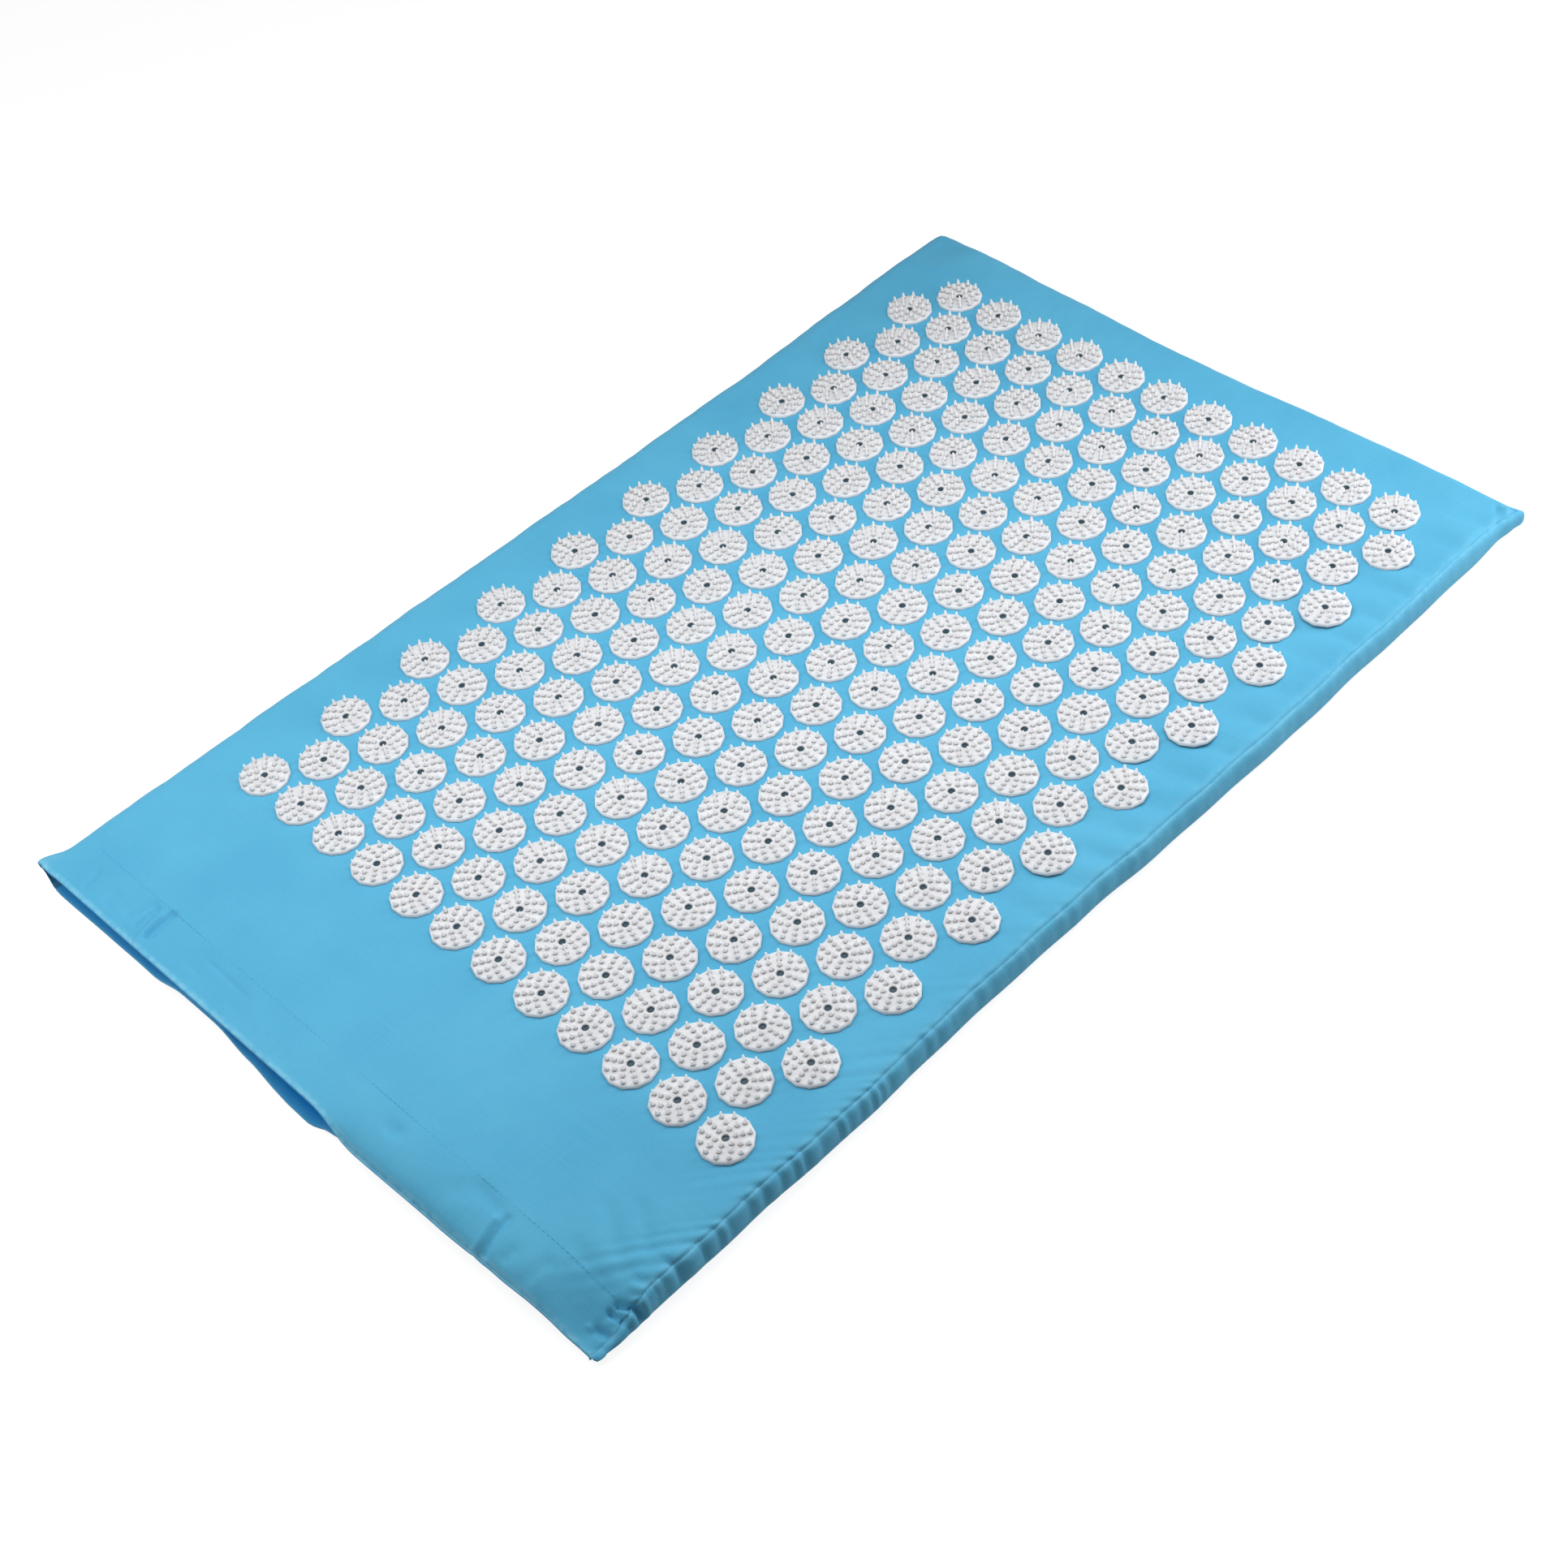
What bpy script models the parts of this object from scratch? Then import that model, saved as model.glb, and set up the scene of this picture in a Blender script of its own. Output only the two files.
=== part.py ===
"""Acupressure mat: a washable cotton cover over a foam slab, with staggered rows of spiked plastic discs.

The mat lies flat. +X runs from the open short end (the mouth) to the far end, +Y to the left long side and
+Z up. The origin is the middle of the underside. Lengths are in metres.
"""

import math

import bmesh
import bpy

# Cover. Its long sides and far end are drawn in between the corners
COVER_LENGTH = 0.680
COVER_WIDTH = 0.426
CLOTH_THICKNESS = 0.001
SIDE_DRAW_IN = 0.003
SEAT_GAP = 0.0003

# Foam core
FOAM_THICKNESS = 0.018
FOAM_END_CLEARANCE = 0.0008

# Mouth: each hem has a level land at the lip, which carries the closing patches, and a slope to its panel.
# Where the mouth gapes, the upper lip stands up and the lower lip lies down. The first patch holds the lower
# lip up to the upper one, and the right corner is pinched flat over a short stretch
PATCH_LENGTH = 0.030
PATCH_DEPTH = 0.014
PATCH_MARGIN = 0.001
PATCH_THICKNESS = 0.001
HEM_SLOPE = 0.014
LIP_LIFT = 0.0065
LIP_DROP = 0.0065
PINCHED_STRETCH = 0.040

# Discs
DISC_DIAMETER = 0.0265
DISC_SPACING = 0.0052
PLATE_THICKNESS = 0.0018
PLATE_DRAFT = 0.0004
SCALLOP_DEPTH = 0.0005
HOLE_DIAMETER = 0.0024
SPIKE_HEIGHT = 0.0038
SPIKE_BASE_DIAMETER = 0.0023
RIM_TO_SPIKE = 0.0026
HOLE_TO_SPIKE = 0.0028
MOUTH_MARGIN = 0.113
FAR_MARGIN = 0.032
SIDE_MARGIN = 0.034
FIELD_OFFSET = 0.004

# How deep a shape is sunk in the one that it is joined to, and how far a cutter runs past what it cuts
OVERRUN = 0.0004

# Counts
EDGE_STEPS = 8
OUTLINE_STEPS = 8
SPIKES_IN_RINGS = (12, 9, 6)
SPIKE_SIDES = 3
HOLE_SIDES = 6
SEPARATE_ROWS = 2
FUSED_DISC_SIDES = 8
HEM_STEPS_ACROSS = 48
HEM_STEPS_ALONG = 6

# Places along the mouth, counted from the left long side, as shares of its width: the patches' middles, and
# the stretches where a lip is moved, each with its start, its end and how far past them the move fades out
PATCH_PLACE_SHARES = (0.318, 0.65, 0.84)
UPPER_LIP_UP_SHARES = (0.0, 0.50, 0.10)
LOWER_LIP_HELD_SHARES = (0.28, 0.356, 0.05)
LOWER_LIP_DOWN_SHARES = ((0.0, 0.10, 0.17), (0.43, 0.50, 0.07))

# Faces that turn by more than this are shaded with a crease between them
CREASE_ANGLE = math.radians(45)

COLOURS = {
    "cover_cloth": (0.16, 0.47, 0.70),
    "disc_plastic": (0.88, 0.87, 0.86),
    "foam": (0.84, 0.82, 0.74),
    "hook_tape": (0.10, 0.33, 0.52),
    "loop_tape": (0.14, 0.40, 0.60),
}
ROUGHNESSES = {
    "cover_cloth": 0.85,
    "disc_plastic": 0.35,
    "foam": 0.95,
    "hook_tape": 0.7,
    "loop_tape": 0.95,
}

# Worked out from the sizes above
HALF_LENGTH = COVER_LENGTH / 2
HALF_WIDTH = COVER_WIDTH / 2
FOAM_BOTTOM = CLOTH_THICKNESS + SEAT_GAP
FOAM_TOP = FOAM_BOTTOM + FOAM_THICKNESS
PANEL_BOTTOM = FOAM_TOP + SEAT_GAP
COVER_TOP = PANEL_BOTTOM + CLOTH_THICKNESS
MOUTH_SEAM = COVER_TOP / 2
EDGE_RADIUS = COVER_TOP / 2
HEM_THICKNESS = 2 * CLOTH_THICKNESS
HEM_LAND = PATCH_DEPTH + 2 * PATCH_MARGIN
HEM_DEPTH = HEM_LAND + HEM_SLOPE
PANEL_NEAR_END = -HALF_LENGTH + HEM_DEPTH + SEAT_GAP
DISC_RADIUS = DISC_DIAMETER / 2
DISC_PITCH = DISC_DIAMETER + DISC_SPACING
ROW_PITCH = DISC_PITCH * math.sqrt(3) / 2
DISC_HEIGHT = PLATE_THICKNESS + SPIKE_HEIGHT
DISC_SEAT = COVER_TOP + SEAT_GAP


def clear_scene():
    """Remove every object that the file opened with."""
    for old in list(bpy.data.objects):
        bpy.data.objects.remove(old, do_unlink=True)


def new_collection(name, hidden=False):
    """A collection linked to the scene, left out of renders if hidden."""
    made = bpy.data.collections.new(name)
    made.hide_render = hidden
    bpy.context.scene.collection.children.link(made)
    return made


def new_material(name):
    """A Principled material with the colour and roughness of that name."""
    made = bpy.data.materials.new(name)
    made.use_nodes = True
    shader = made.node_tree.nodes["Principled BSDF"]
    shader.inputs["Base Color"].default_value = (*COLOURS[name], 1.0)
    shader.inputs["Roughness"].default_value = ROUGHNESSES[name]
    shader.inputs["Metallic"].default_value = 0.0
    made.diffuse_color = (*COLOURS[name], 1.0)
    return made


def mesh_object(name, shape, collection, material):
    """An object made from a bmesh, which is freed."""
    mesh = bpy.data.meshes.new(name)
    bmesh.ops.recalc_face_normals(shape, faces=shape.faces)
    shape.to_mesh(mesh)
    shape.free()
    mesh.materials.append(material)
    made = bpy.data.objects.new(name, mesh)
    collection.objects.link(made)
    return made


def hide_helper(helper):
    """Mark a cutter or a master shape as no part of the mat."""
    helper.hide_render = True
    helper.display_type = "WIRE"


def add_box(shape, low, high):
    """Add a box between two corners to a bmesh, and return its vertices."""
    verts = bmesh.ops.create_cube(shape, size=1.0)["verts"]
    for vert in verts:
        vert.co = [b if share > 0 else a for a, b, share in zip(low, high, vert.co)]
    return verts


def box_piece(name, low, high, collection, material):
    """A plain slab between two corners."""
    shape = bmesh.new()
    add_box(shape, low, high)
    return mesh_object(name, shape, collection, material)


def lofted_piece(name, rings, collection, material):
    """A solid lofted through closed rings of points, all of one count, with its two ends capped."""
    shape = bmesh.new()
    loops = [[shape.verts.new(point) for point in ring] for ring in rings]
    caps = [shape.faces.new(loops[0]), shape.faces.new(loops[-1])]
    for loop, after in zip(loops, loops[1:]):
        for a, b, c, d in zip(loop, loop[1:] + loop[:1], after[1:] + after[:1], after):
            shape.faces.new((a, b, c, d))
    shape.normal_update()
    bmesh.ops.triangulate(shape, faces=caps)
    made = mesh_object(name, shape, collection, material)
    made.data.shade_smooth()
    made.data.set_sharp_from_angle(angle=CREASE_ANGLE)
    return made


def baked_mesh(source, name):
    """The mesh of an object with its modifiers applied."""
    graph = bpy.context.evaluated_depsgraph_get()
    mesh = bpy.data.meshes.new_from_object(source.evaluated_get(graph))
    mesh.name = name
    return mesh


def join_with(target, other, operation):
    """Add a Boolean modifier that keeps the other shape's material on its faces."""
    modifier = target.modifiers.new(operation.title(), "BOOLEAN")
    modifier.operation = operation
    modifier.object = other
    modifier.solver = "EXACT"
    modifier.material_mode = "TRANSFER"
    return modifier


def draw_in(share):
    """How far the outline lies inside the corners at a share of a side's length: most in the middle."""
    return SIDE_DRAW_IN * (1 - math.cos(2 * math.pi * share)) / 2


def side_reach(x):
    """Half the cover's width at a place along it."""
    return HALF_WIDTH - draw_in((x + HALF_LENGTH) / COVER_LENGTH)


def end_reach(y):
    """How far the cover's far end reaches along +X at a place across it."""
    return HALF_LENGTH - draw_in((y + HALF_WIDTH) / COVER_WIDTH)


def side_points(sign, inset, near, trim):
    """Points along a long side, a distance inside the outline, from near to the far corner less a trim."""
    far = HALF_LENGTH - inset - trim
    places = [near + (far - near) * step / OUTLINE_STEPS for step in range(OUTLINE_STEPS + 1)]
    return [(x, sign * (side_reach(x) - inset)) for x in places]


def end_points(inset, trim):
    """Points along the far end, a distance inside the outline, from the right corner to the left one."""
    reach = HALF_WIDTH - inset - trim
    places = [reach * (2 * step / OUTLINE_STEPS - 1) for step in range(OUTLINE_STEPS + 1)]
    return [(end_reach(y) - inset, y) for y in places]


def outline_ring(inset, near, z):
    """The cover's outline at a height, a distance inside it, closed straight across at its near end."""
    right = side_points(-1, inset, near, 0)
    left = side_points(1, inset, near, 0)
    across = end_points(inset, 0)
    return [(x, y, z) for x, y in right + across[1:-1] + left[::-1]]


def edge_section(radius):
    """Half a round, as (inset from the outline, height), from the underside over the edge to the top."""
    section = []
    for step in range(EDGE_STEPS + 1):
        angle = math.pi * (step / EDGE_STEPS - 0.5)
        section.append((EDGE_RADIUS - radius * math.cos(angle), MOUTH_SEAM + radius * math.sin(angle)))
    return section


def build_walls(collection, material):
    """The two side walls and the far end wall: half-round, between the panels, with mitred far corners."""
    mitre = SEAT_GAP / 2 * math.sqrt(2)
    section = edge_section(EDGE_RADIUS) + edge_section(EDGE_RADIUS - CLOTH_THICKNESS)[::-1]
    paths = {
        "left_side_wall": lambda inset: side_points(1, inset, PANEL_NEAR_END, mitre),
        "right_side_wall": lambda inset: side_points(-1, inset, PANEL_NEAR_END, mitre),
        "far_end_wall": lambda inset: end_points(inset, mitre),
    }
    for name, path in paths.items():
        lines = [[(x, y, height) for x, y in path(inset)] for inset, height in section]
        lofted_piece(name, list(zip(*lines)), collection, material)


def build_foam_core(collection, material):
    """The foam slab, which the cover presses round at its long edges and far edge.

    It is cut straight, to slide through the cover where the sides are drawn in most.
    """
    near = PANEL_NEAR_END + FOAM_END_CLEARANCE
    rings = []
    for inset, height in edge_section(EDGE_RADIUS - CLOTH_THICKNESS - SEAT_GAP):
        far = HALF_LENGTH - SIDE_DRAW_IN - inset
        side = HALF_WIDTH - SIDE_DRAW_IN - inset
        corners = ((near, -side), (far, -side), (far, side), (near, side))
        rings.append([(x, y, height) for x, y in corners])
    lofted_piece("foam_core", rings, collection, material)


def smooth(amount):
    """Ease from 0 to 1, with the amount kept between them."""
    amount = min(max(amount, 0.0), 1.0)
    return amount * amount * (3 - 2 * amount)


def moved_share(share, stretch):
    """How much of a lip's move applies at a share of the mouth's width: all in the stretch, none past it."""
    start, end, fade = stretch
    return smooth(1 - max(start - share, share - end) / fade)


def lip_crests(share):
    """How far the lower lip lies under the seam's height, and the upper lip over it, inside faces."""
    closed = SEAT_GAP / 2 + PATCH_THICKNESS + SEAT_GAP
    below = closed - LIP_LIFT * moved_share(share, LOWER_LIP_HELD_SHARES)
    below += sum(LIP_DROP * moved_share(share, stretch) for stretch in LOWER_LIP_DOWN_SHARES)
    return below, closed + LIP_LIFT * moved_share(share, UPPER_LIP_UP_SHARES)


def mouth_opening(x, y):
    """The heights over the floor of the lower hem's upper face and the upper hem's underside.

    The two come from the panels down the slope and lie level at the lip. At the sides they are round, as the
    walls are, but for the pinched corner.
    """
    rise = smooth((x + HALF_LENGTH - HEM_LAND) / HEM_SLOPE)
    closed = SEAT_GAP / 2
    full = MOUTH_SEAM - HEM_THICKNESS
    taper = EDGE_RADIUS
    if y < 0:
        taper += (PINCHED_STRETCH - EDGE_RADIUS) * (1 - rise)
    outward = min(max(1 - (side_reach(x) - abs(y)) / taper, 0.0), 1.0)
    section = math.sqrt(1 - outward * outward)
    below, above = [
        closed + (lip + (full - lip) * rise - closed) * section
        for lip in lip_crests((HALF_WIDTH - y) / COVER_WIDTH)
    ]
    return MOUTH_SEAM - below, MOUTH_SEAM + above


def hem_piece(name, faces_at, collection, material):
    """One hem of the mouth. faces_at gives the heights of its under and upper face at a place."""
    shape = bmesh.new()
    rows = []
    for along in range(HEM_STEPS_ALONG + 1):
        x = -HALF_LENGTH + HEM_DEPTH * along / HEM_STEPS_ALONG
        row = []
        for across in range(HEM_STEPS_ACROSS + 1):
            y = side_reach(x) * math.sin(math.pi * (across / HEM_STEPS_ACROSS - 0.5))
            row.append([shape.verts.new((x, y, z)) for z in faces_at(x, y)])
        rows.append(row)
    for row, after in zip(rows, rows[1:]):
        for a, b, c, d in zip(row, row[1:], after[1:], after):
            for level in (0, 1):
                shape.faces.new((a[level], b[level], c[level], d[level]))
    columns = [list(column) for column in zip(*rows)]
    for border in (rows[0], rows[-1], columns[0], columns[-1]):
        for a, b in zip(border, border[1:]):
            shape.faces.new((a[0], b[0], b[1], a[1]))
    made = mesh_object(name, shape, collection, material)
    made.data.shade_smooth()
    made.data.set_sharp_from_angle(angle=CREASE_ANGLE)
    return made


def build_hems(collection, material):
    """The folded edges of the two panels, which close the mouth over the foam's end."""

    def upper_faces(x, y):
        underside = mouth_opening(x, y)[1]
        return underside, underside + HEM_THICKNESS

    def lower_faces(x, y):
        upper_side = mouth_opening(x, y)[0]
        return upper_side - HEM_THICKNESS, upper_side

    hem_piece("mouth_upper_hem", upper_faces, collection, material)
    hem_piece("mouth_lower_hem", lower_faces, collection, material)


def build_patches(collection, hook_material, loop_material):
    """Pairs of closing patches at the lip: hooks under the upper hem, loops on the lower one."""
    near = -HALF_LENGTH + PATCH_MARGIN
    far = near + PATCH_DEPTH
    for number, share in enumerate(PATCH_PLACE_SHARES, start=1):
        middle = HALF_WIDTH - share * COVER_WIDTH
        sides = (middle - PATCH_LENGTH / 2, middle + PATCH_LENGTH / 2)
        lips = [mouth_opening(x, y) for x in (near, far) for y in (*sides, middle)]
        lower = max(lip[0] for lip in lips) + SEAT_GAP
        upper = min(lip[1] for lip in lips) - SEAT_GAP
        pieces = (
            ("hook", hook_material, upper - PATCH_THICKNESS, upper),
            ("loop", loop_material, lower, lower + PATCH_THICKNESS),
        )
        for kind, material, bottom, top in pieces:
            low = (near, sides[0], bottom)
            high = (far, sides[1], top)
            box_piece(f"{kind}_patch_{number}", low, high, collection, material)


def disc_places():
    """The centre of each disc, as (row, column, x, y). Odd rows hold one disc more than even ones."""
    rows = int((COVER_LENGTH - MOUTH_MARGIN - FAR_MARGIN) / ROW_PITCH) + 1
    widest = int((COVER_WIDTH - 2 * SIDE_MARGIN) / DISC_PITCH) + 1
    for row in range(1, rows + 1):
        count = widest - (row + 1) % 2
        x = -HALF_LENGTH + MOUTH_MARGIN + (row - 1) * ROW_PITCH
        for column in range(1, count + 1):
            yield row, column, x, ((count + 1) / 2 - column) * DISC_PITCH - FIELD_OFFSET


def ring_radii():
    """The radii of the spike rings, from the rim inwards, evenly spaced between rim and hole."""
    outermost = DISC_RADIUS - RIM_TO_SPIKE
    innermost = HOLE_DIAMETER / 2 + HOLE_TO_SPIKE
    steps = len(SPIKES_IN_RINGS) - 1
    return [outermost + (innermost - outermost) * ring / steps for ring in range(steps + 1)]


def moved(verts, x, y, z):
    """Shift vertices, and return them."""
    for vert in verts:
        vert.co.x += x
        vert.co.y += y
        vert.co.z += z
    return verts


def spiked_disc_mesh(cutters, material):
    """One moulded disc on its seat plane: a scalloped plate, its centre hole and three rings of spikes."""
    shape = bmesh.new()
    lobes = SPIKES_IN_RINGS[0]
    plate_verts = bmesh.ops.create_cone(
        shape,
        cap_ends=True,
        segments=2 * lobes,
        radius1=DISC_RADIUS,
        radius2=DISC_RADIUS - PLATE_DRAFT,
        depth=PLATE_THICKNESS,
    )["verts"]
    for vert in moved(plate_verts, 0.0, 0.0, PLATE_THICKNESS / 2):
        turn = math.atan2(vert.co.y, vert.co.x) / (math.pi / lobes)
        if round(turn) % 2:
            radius = math.hypot(vert.co.x, vert.co.y)
            vert.co.x *= 1 - SCALLOP_DEPTH / radius
            vert.co.y *= 1 - SCALLOP_DEPTH / radius
    plate = mesh_object("disc_plate", shape, cutters, material)

    shape = bmesh.new()
    for count, radius in zip(SPIKES_IN_RINGS, ring_radii()):
        for index in range(count):
            turn = 2 * math.pi * index / count
            verts = bmesh.ops.create_cone(
                shape,
                cap_ends=True,
                segments=SPIKE_SIDES,
                radius1=SPIKE_BASE_DIAMETER / 2,
                radius2=0.0,
                depth=SPIKE_HEIGHT + OVERRUN,
            )["verts"]
            middle = PLATE_THICKNESS + (SPIKE_HEIGHT - OVERRUN) / 2
            moved(verts, radius * math.cos(turn), radius * math.sin(turn), middle)
    spikes = mesh_object("disc_spikes", shape, cutters, material)

    shape = bmesh.new()
    bmesh.ops.create_cone(
        shape,
        cap_ends=True,
        segments=HOLE_SIDES,
        radius1=HOLE_DIAMETER / 2,
        radius2=HOLE_DIAMETER / 2,
        depth=2 * (PLATE_THICKNESS + OVERRUN),
    )
    hole = mesh_object("disc_hole", shape, cutters, material)

    for helper in (plate, spikes, hole):
        hide_helper(helper)
    join_with(plate, spikes, "UNION")
    join_with(plate, hole, "DIFFERENCE")
    return baked_mesh(plate, "spiked_disc")


def build_discs(collection, cutters, material):
    """The discs of the first rows, each a piece of its own that shares one mesh."""
    mesh = spiked_disc_mesh(cutters, material)
    for row, column, x, y in disc_places():
        if row > SEPARATE_ROWS:
            continue
        disc = bpy.data.objects.new(f"disc_r{row:02d}_c{column:02d}", mesh)
        disc.location = (x, y, DISC_SEAT)
        collection.objects.link(disc)


def build_upper_panel(collection, cutters, cloth, plastic):
    """The upper panel, with the discs past the first rows joined to it.

    Each of these is plain: a tapered block from the rim of its plate to the tips of its outer spikes.
    """
    rings = [outline_ring(EDGE_RADIUS + SEAT_GAP, PANEL_NEAR_END, z) for z in (PANEL_BOTTOM, COVER_TOP)]
    panel = lofted_piece("upper_panel", rings, collection, cloth)

    shape = bmesh.new()
    height = DISC_SEAT + DISC_HEIGHT - COVER_TOP
    for row, _, x, y in disc_places():
        if row <= SEPARATE_ROWS:
            continue
        verts = bmesh.ops.create_cone(
            shape,
            cap_ends=True,
            segments=FUSED_DISC_SIDES,
            radius1=DISC_RADIUS,
            radius2=ring_radii()[0],
            depth=height + OVERRUN,
        )["verts"]
        moved(verts, x, y, COVER_TOP + (height - OVERRUN) / 2)
    field = mesh_object("fused_discs", shape, cutters, plastic)
    hide_helper(field)
    join_with(panel, field, "UNION")
    return panel


def build_lower_panel(collection, cloth):
    """The lower panel, which lies on the floor between the walls."""
    rings = [outline_ring(EDGE_RADIUS + SEAT_GAP, PANEL_NEAR_END, z) for z in (0.0, CLOTH_THICKNESS)]
    lofted_piece("lower_panel", rings, collection, cloth)


def main():
    """Build the mat piece by piece, from the floor up."""
    clear_scene()
    mat = new_collection("acupressure_mat")
    cutters = new_collection("cutters", hidden=True)
    cloth = new_material("cover_cloth")
    plastic = new_material("disc_plastic")
    build_lower_panel(mat, cloth)
    build_walls(mat, cloth)
    build_foam_core(mat, new_material("foam"))
    build_patches(mat, new_material("hook_tape"), new_material("loop_tape"))
    build_hems(mat, cloth)
    build_upper_panel(mat, cutters, cloth, plastic)
    build_discs(mat, cutters, plastic)


main()
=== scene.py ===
"""Looks of the acupressure mat: a sky-blue cotton cover with a foam slab in it and rows of white spiked discs.

+X runs from the open short end (the mouth) to the far end, +Y to the left long side and +Z up. The origin is the
middle of the underside. Lengths are in metres and angles in radians, but for tables that say otherwise.
"""

import logging
import math
from collections.abc import Callable
from dataclasses import dataclass, field
from enum import Enum

import bpy
import numpy as np
from mathutils import Euler, Matrix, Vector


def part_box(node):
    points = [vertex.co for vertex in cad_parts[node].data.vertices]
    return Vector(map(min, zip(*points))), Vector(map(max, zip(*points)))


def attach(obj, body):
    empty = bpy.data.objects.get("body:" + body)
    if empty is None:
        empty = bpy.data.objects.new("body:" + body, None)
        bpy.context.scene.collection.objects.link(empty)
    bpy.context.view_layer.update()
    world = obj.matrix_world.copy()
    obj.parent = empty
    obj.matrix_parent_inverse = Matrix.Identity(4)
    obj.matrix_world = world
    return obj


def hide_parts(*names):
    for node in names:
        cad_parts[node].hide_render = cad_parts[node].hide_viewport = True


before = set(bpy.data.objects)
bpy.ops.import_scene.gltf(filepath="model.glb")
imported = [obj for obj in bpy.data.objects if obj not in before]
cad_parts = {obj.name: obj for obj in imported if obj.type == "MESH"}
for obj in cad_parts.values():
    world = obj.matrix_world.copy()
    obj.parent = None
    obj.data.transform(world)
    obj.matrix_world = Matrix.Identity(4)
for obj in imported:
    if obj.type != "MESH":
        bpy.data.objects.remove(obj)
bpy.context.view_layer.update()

Array = np.ndarray
Knots = tuple[tuple[float, float], ...]
Colour = tuple[float, float, float]
Thing = bpy.types.Object
Socket = bpy.types.NodeSocket

MM = 0.001
DEGREE = math.radians(1)
log = logging.getLogger("acupressure_mat")


def smooth(amount: Array) -> Array:
    """Ease from 0 to 1: 3a² − 2a³ of the amount, kept between them."""
    kept = np.clip(amount, 0.0, 1.0)
    return kept * kept * (3 - 2 * kept)


def fade(distance: Array, reach: float | Array) -> Array:
    """1 at no distance and 0 from the reach on, eased between."""
    return smooth(1 - np.asarray(distance) / reach)


def knots(*rows: tuple[float, float], unit: float = MM) -> Knots:
    """Knots from rows of a place, in the unit, and its value in millimetres."""
    return tuple((at * unit, value * MM) for at, value in rows)


def eased(at: Array, table: Knots) -> Array:
    """Values between knots, eased from each knot to the next.

    Args:
        at: the places.
        table: pairs of a place and its value, in rising order of place.

    Returns:
        The values at the places, level before the first knot and after the last.
    """
    places, values = np.array(table).T
    at = np.asarray(at, float)
    index = np.clip(np.searchsorted(places, at, side="right") - 1, 0, len(places) - 2)
    share = smooth((at - places[index]) / (places[index + 1] - places[index]))
    return values[index] + (values[index + 1] - values[index]) * share


def spread_between(edges: Knots) -> Array:
    """Places from the first edge to the last, spaced as each stretch says.

    Args:
        edges: pairs of a place and the spacing from there to the next edge.

    Returns:
        The places in rising order, with both ends among them.
    """
    parts = []
    for (start, spacing), (end, _) in zip(edges, edges[1:]):
        parts.append(np.linspace(start, end, max(1, round((end - start) / spacing)), endpoint=False))
    return np.concatenate([*parts, [edges[-1][0]]])


def circle(turn: Array, z: float | Array = 0.0) -> Array:
    """Points on a circle of radius 1: the cosine and sine of the turn, and z."""
    return np.stack(np.broadcast_arrays(np.cos(turn), np.sin(turn), z), axis=-1)


def mesh_object(name: str, points: Array, faces: list[Array], flat: Array | None = None) -> Thing:
    """A smooth-shaded object from arrays.

    Args:
        name: the object's name.
        points: one row of x, y and z a vertex.
        faces: arrays of corner indices, one array for each number of corners.
        flat: where each vertex lies on the flat cut, in metres, if the piece is cloth.

    Returns:
        The object, linked to the scene.
    """
    corners = np.concatenate([group.ravel() for group in faces]).astype(np.int32)
    counts = np.concatenate([np.full(len(group), group.shape[1]) for group in faces])
    starts = np.concatenate([[0], np.cumsum(counts)[:-1]]).astype(np.int32)
    mesh = bpy.data.meshes.new(name)
    mesh.vertices.add(len(points))
    mesh.vertices.foreach_set("co", points.astype(np.float32).ravel())
    mesh.loops.add(len(corners))
    mesh.loops.foreach_set("vertex_index", corners)
    mesh.polygons.add(len(counts))
    mesh.polygons.foreach_set("loop_start", starts)
    if flat is not None:
        layer = mesh.uv_layers.new(name="flat_cut")
        layer.uv.foreach_set("vector", flat[corners].astype(np.float32).ravel())
    mesh.update(calc_edges=True)
    mesh.validate()
    mesh.shade_smooth()
    made = bpy.data.objects.new(name, mesh)
    bpy.context.scene.collection.objects.link(made)
    return made


def grid_faces(rows: int, columns: int, flip: bool = False, closed: bool = False) -> Array:
    """Four-cornered faces between the points of a grid.

    Args:
        rows: how many rows of points.
        columns: how many points in a row.
        flip: turn the faces over.
        closed: join each row's last point to its first.

    Returns:
        The corner indices, which turn from the way along the rows' count to the way along a row.
    """
    across = np.arange(columns if closed else columns - 1)
    first = np.arange(rows - 1)[:, None] * columns + across
    beside = np.arange(rows - 1)[:, None] * columns + (across + 1) % columns
    quads = np.stack([first, first + columns, beside + columns, beside], axis=-1).reshape(-1, 4)
    return quads[:, ::-1] if flip else quads


def fan(first: int, around: int, middle: int, flip: bool = False) -> Array:
    """Three-cornered faces from a closed ring, which starts at the first point, to a middle point."""
    ring = np.arange(around)
    faces = np.stack([first + ring, first + np.roll(ring, -1), np.full(around, middle)], axis=-1)
    return faces[:, ::-1] if flip else faces


def repeated(faces: Array, copies: int, points: int) -> Array:
    """The faces of a shape's copies, each of which has that many points."""
    return (faces[None] + np.arange(copies)[:, None, None] * points).reshape(-1, faces.shape[1])


def grid_object(name: str, points: Array, flip: bool = False) -> Thing:
    """A surface through a grid of points.

    Its flat cut is measured along the grid: each way, the running sum of the mean distance from one line of
    points to the next.

    Args:
        name: the object's name.
        points: rows by columns by x, y and z.
        flip: turn the surface over.

    Returns:
        The object.
    """
    runs = [np.linalg.norm(np.diff(points, axis=axis), axis=2).mean(axis=1 - axis) for axis in (0, 1)]
    flat = np.stack(np.meshgrid(*(np.concatenate([[0], np.cumsum(run)]) for run in runs), indexing="ij"), axis=-1)
    return mesh_object(name, points.reshape(-1, 3), [grid_faces(*points.shape[:2], flip)], flat.reshape(-1, 2))


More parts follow.
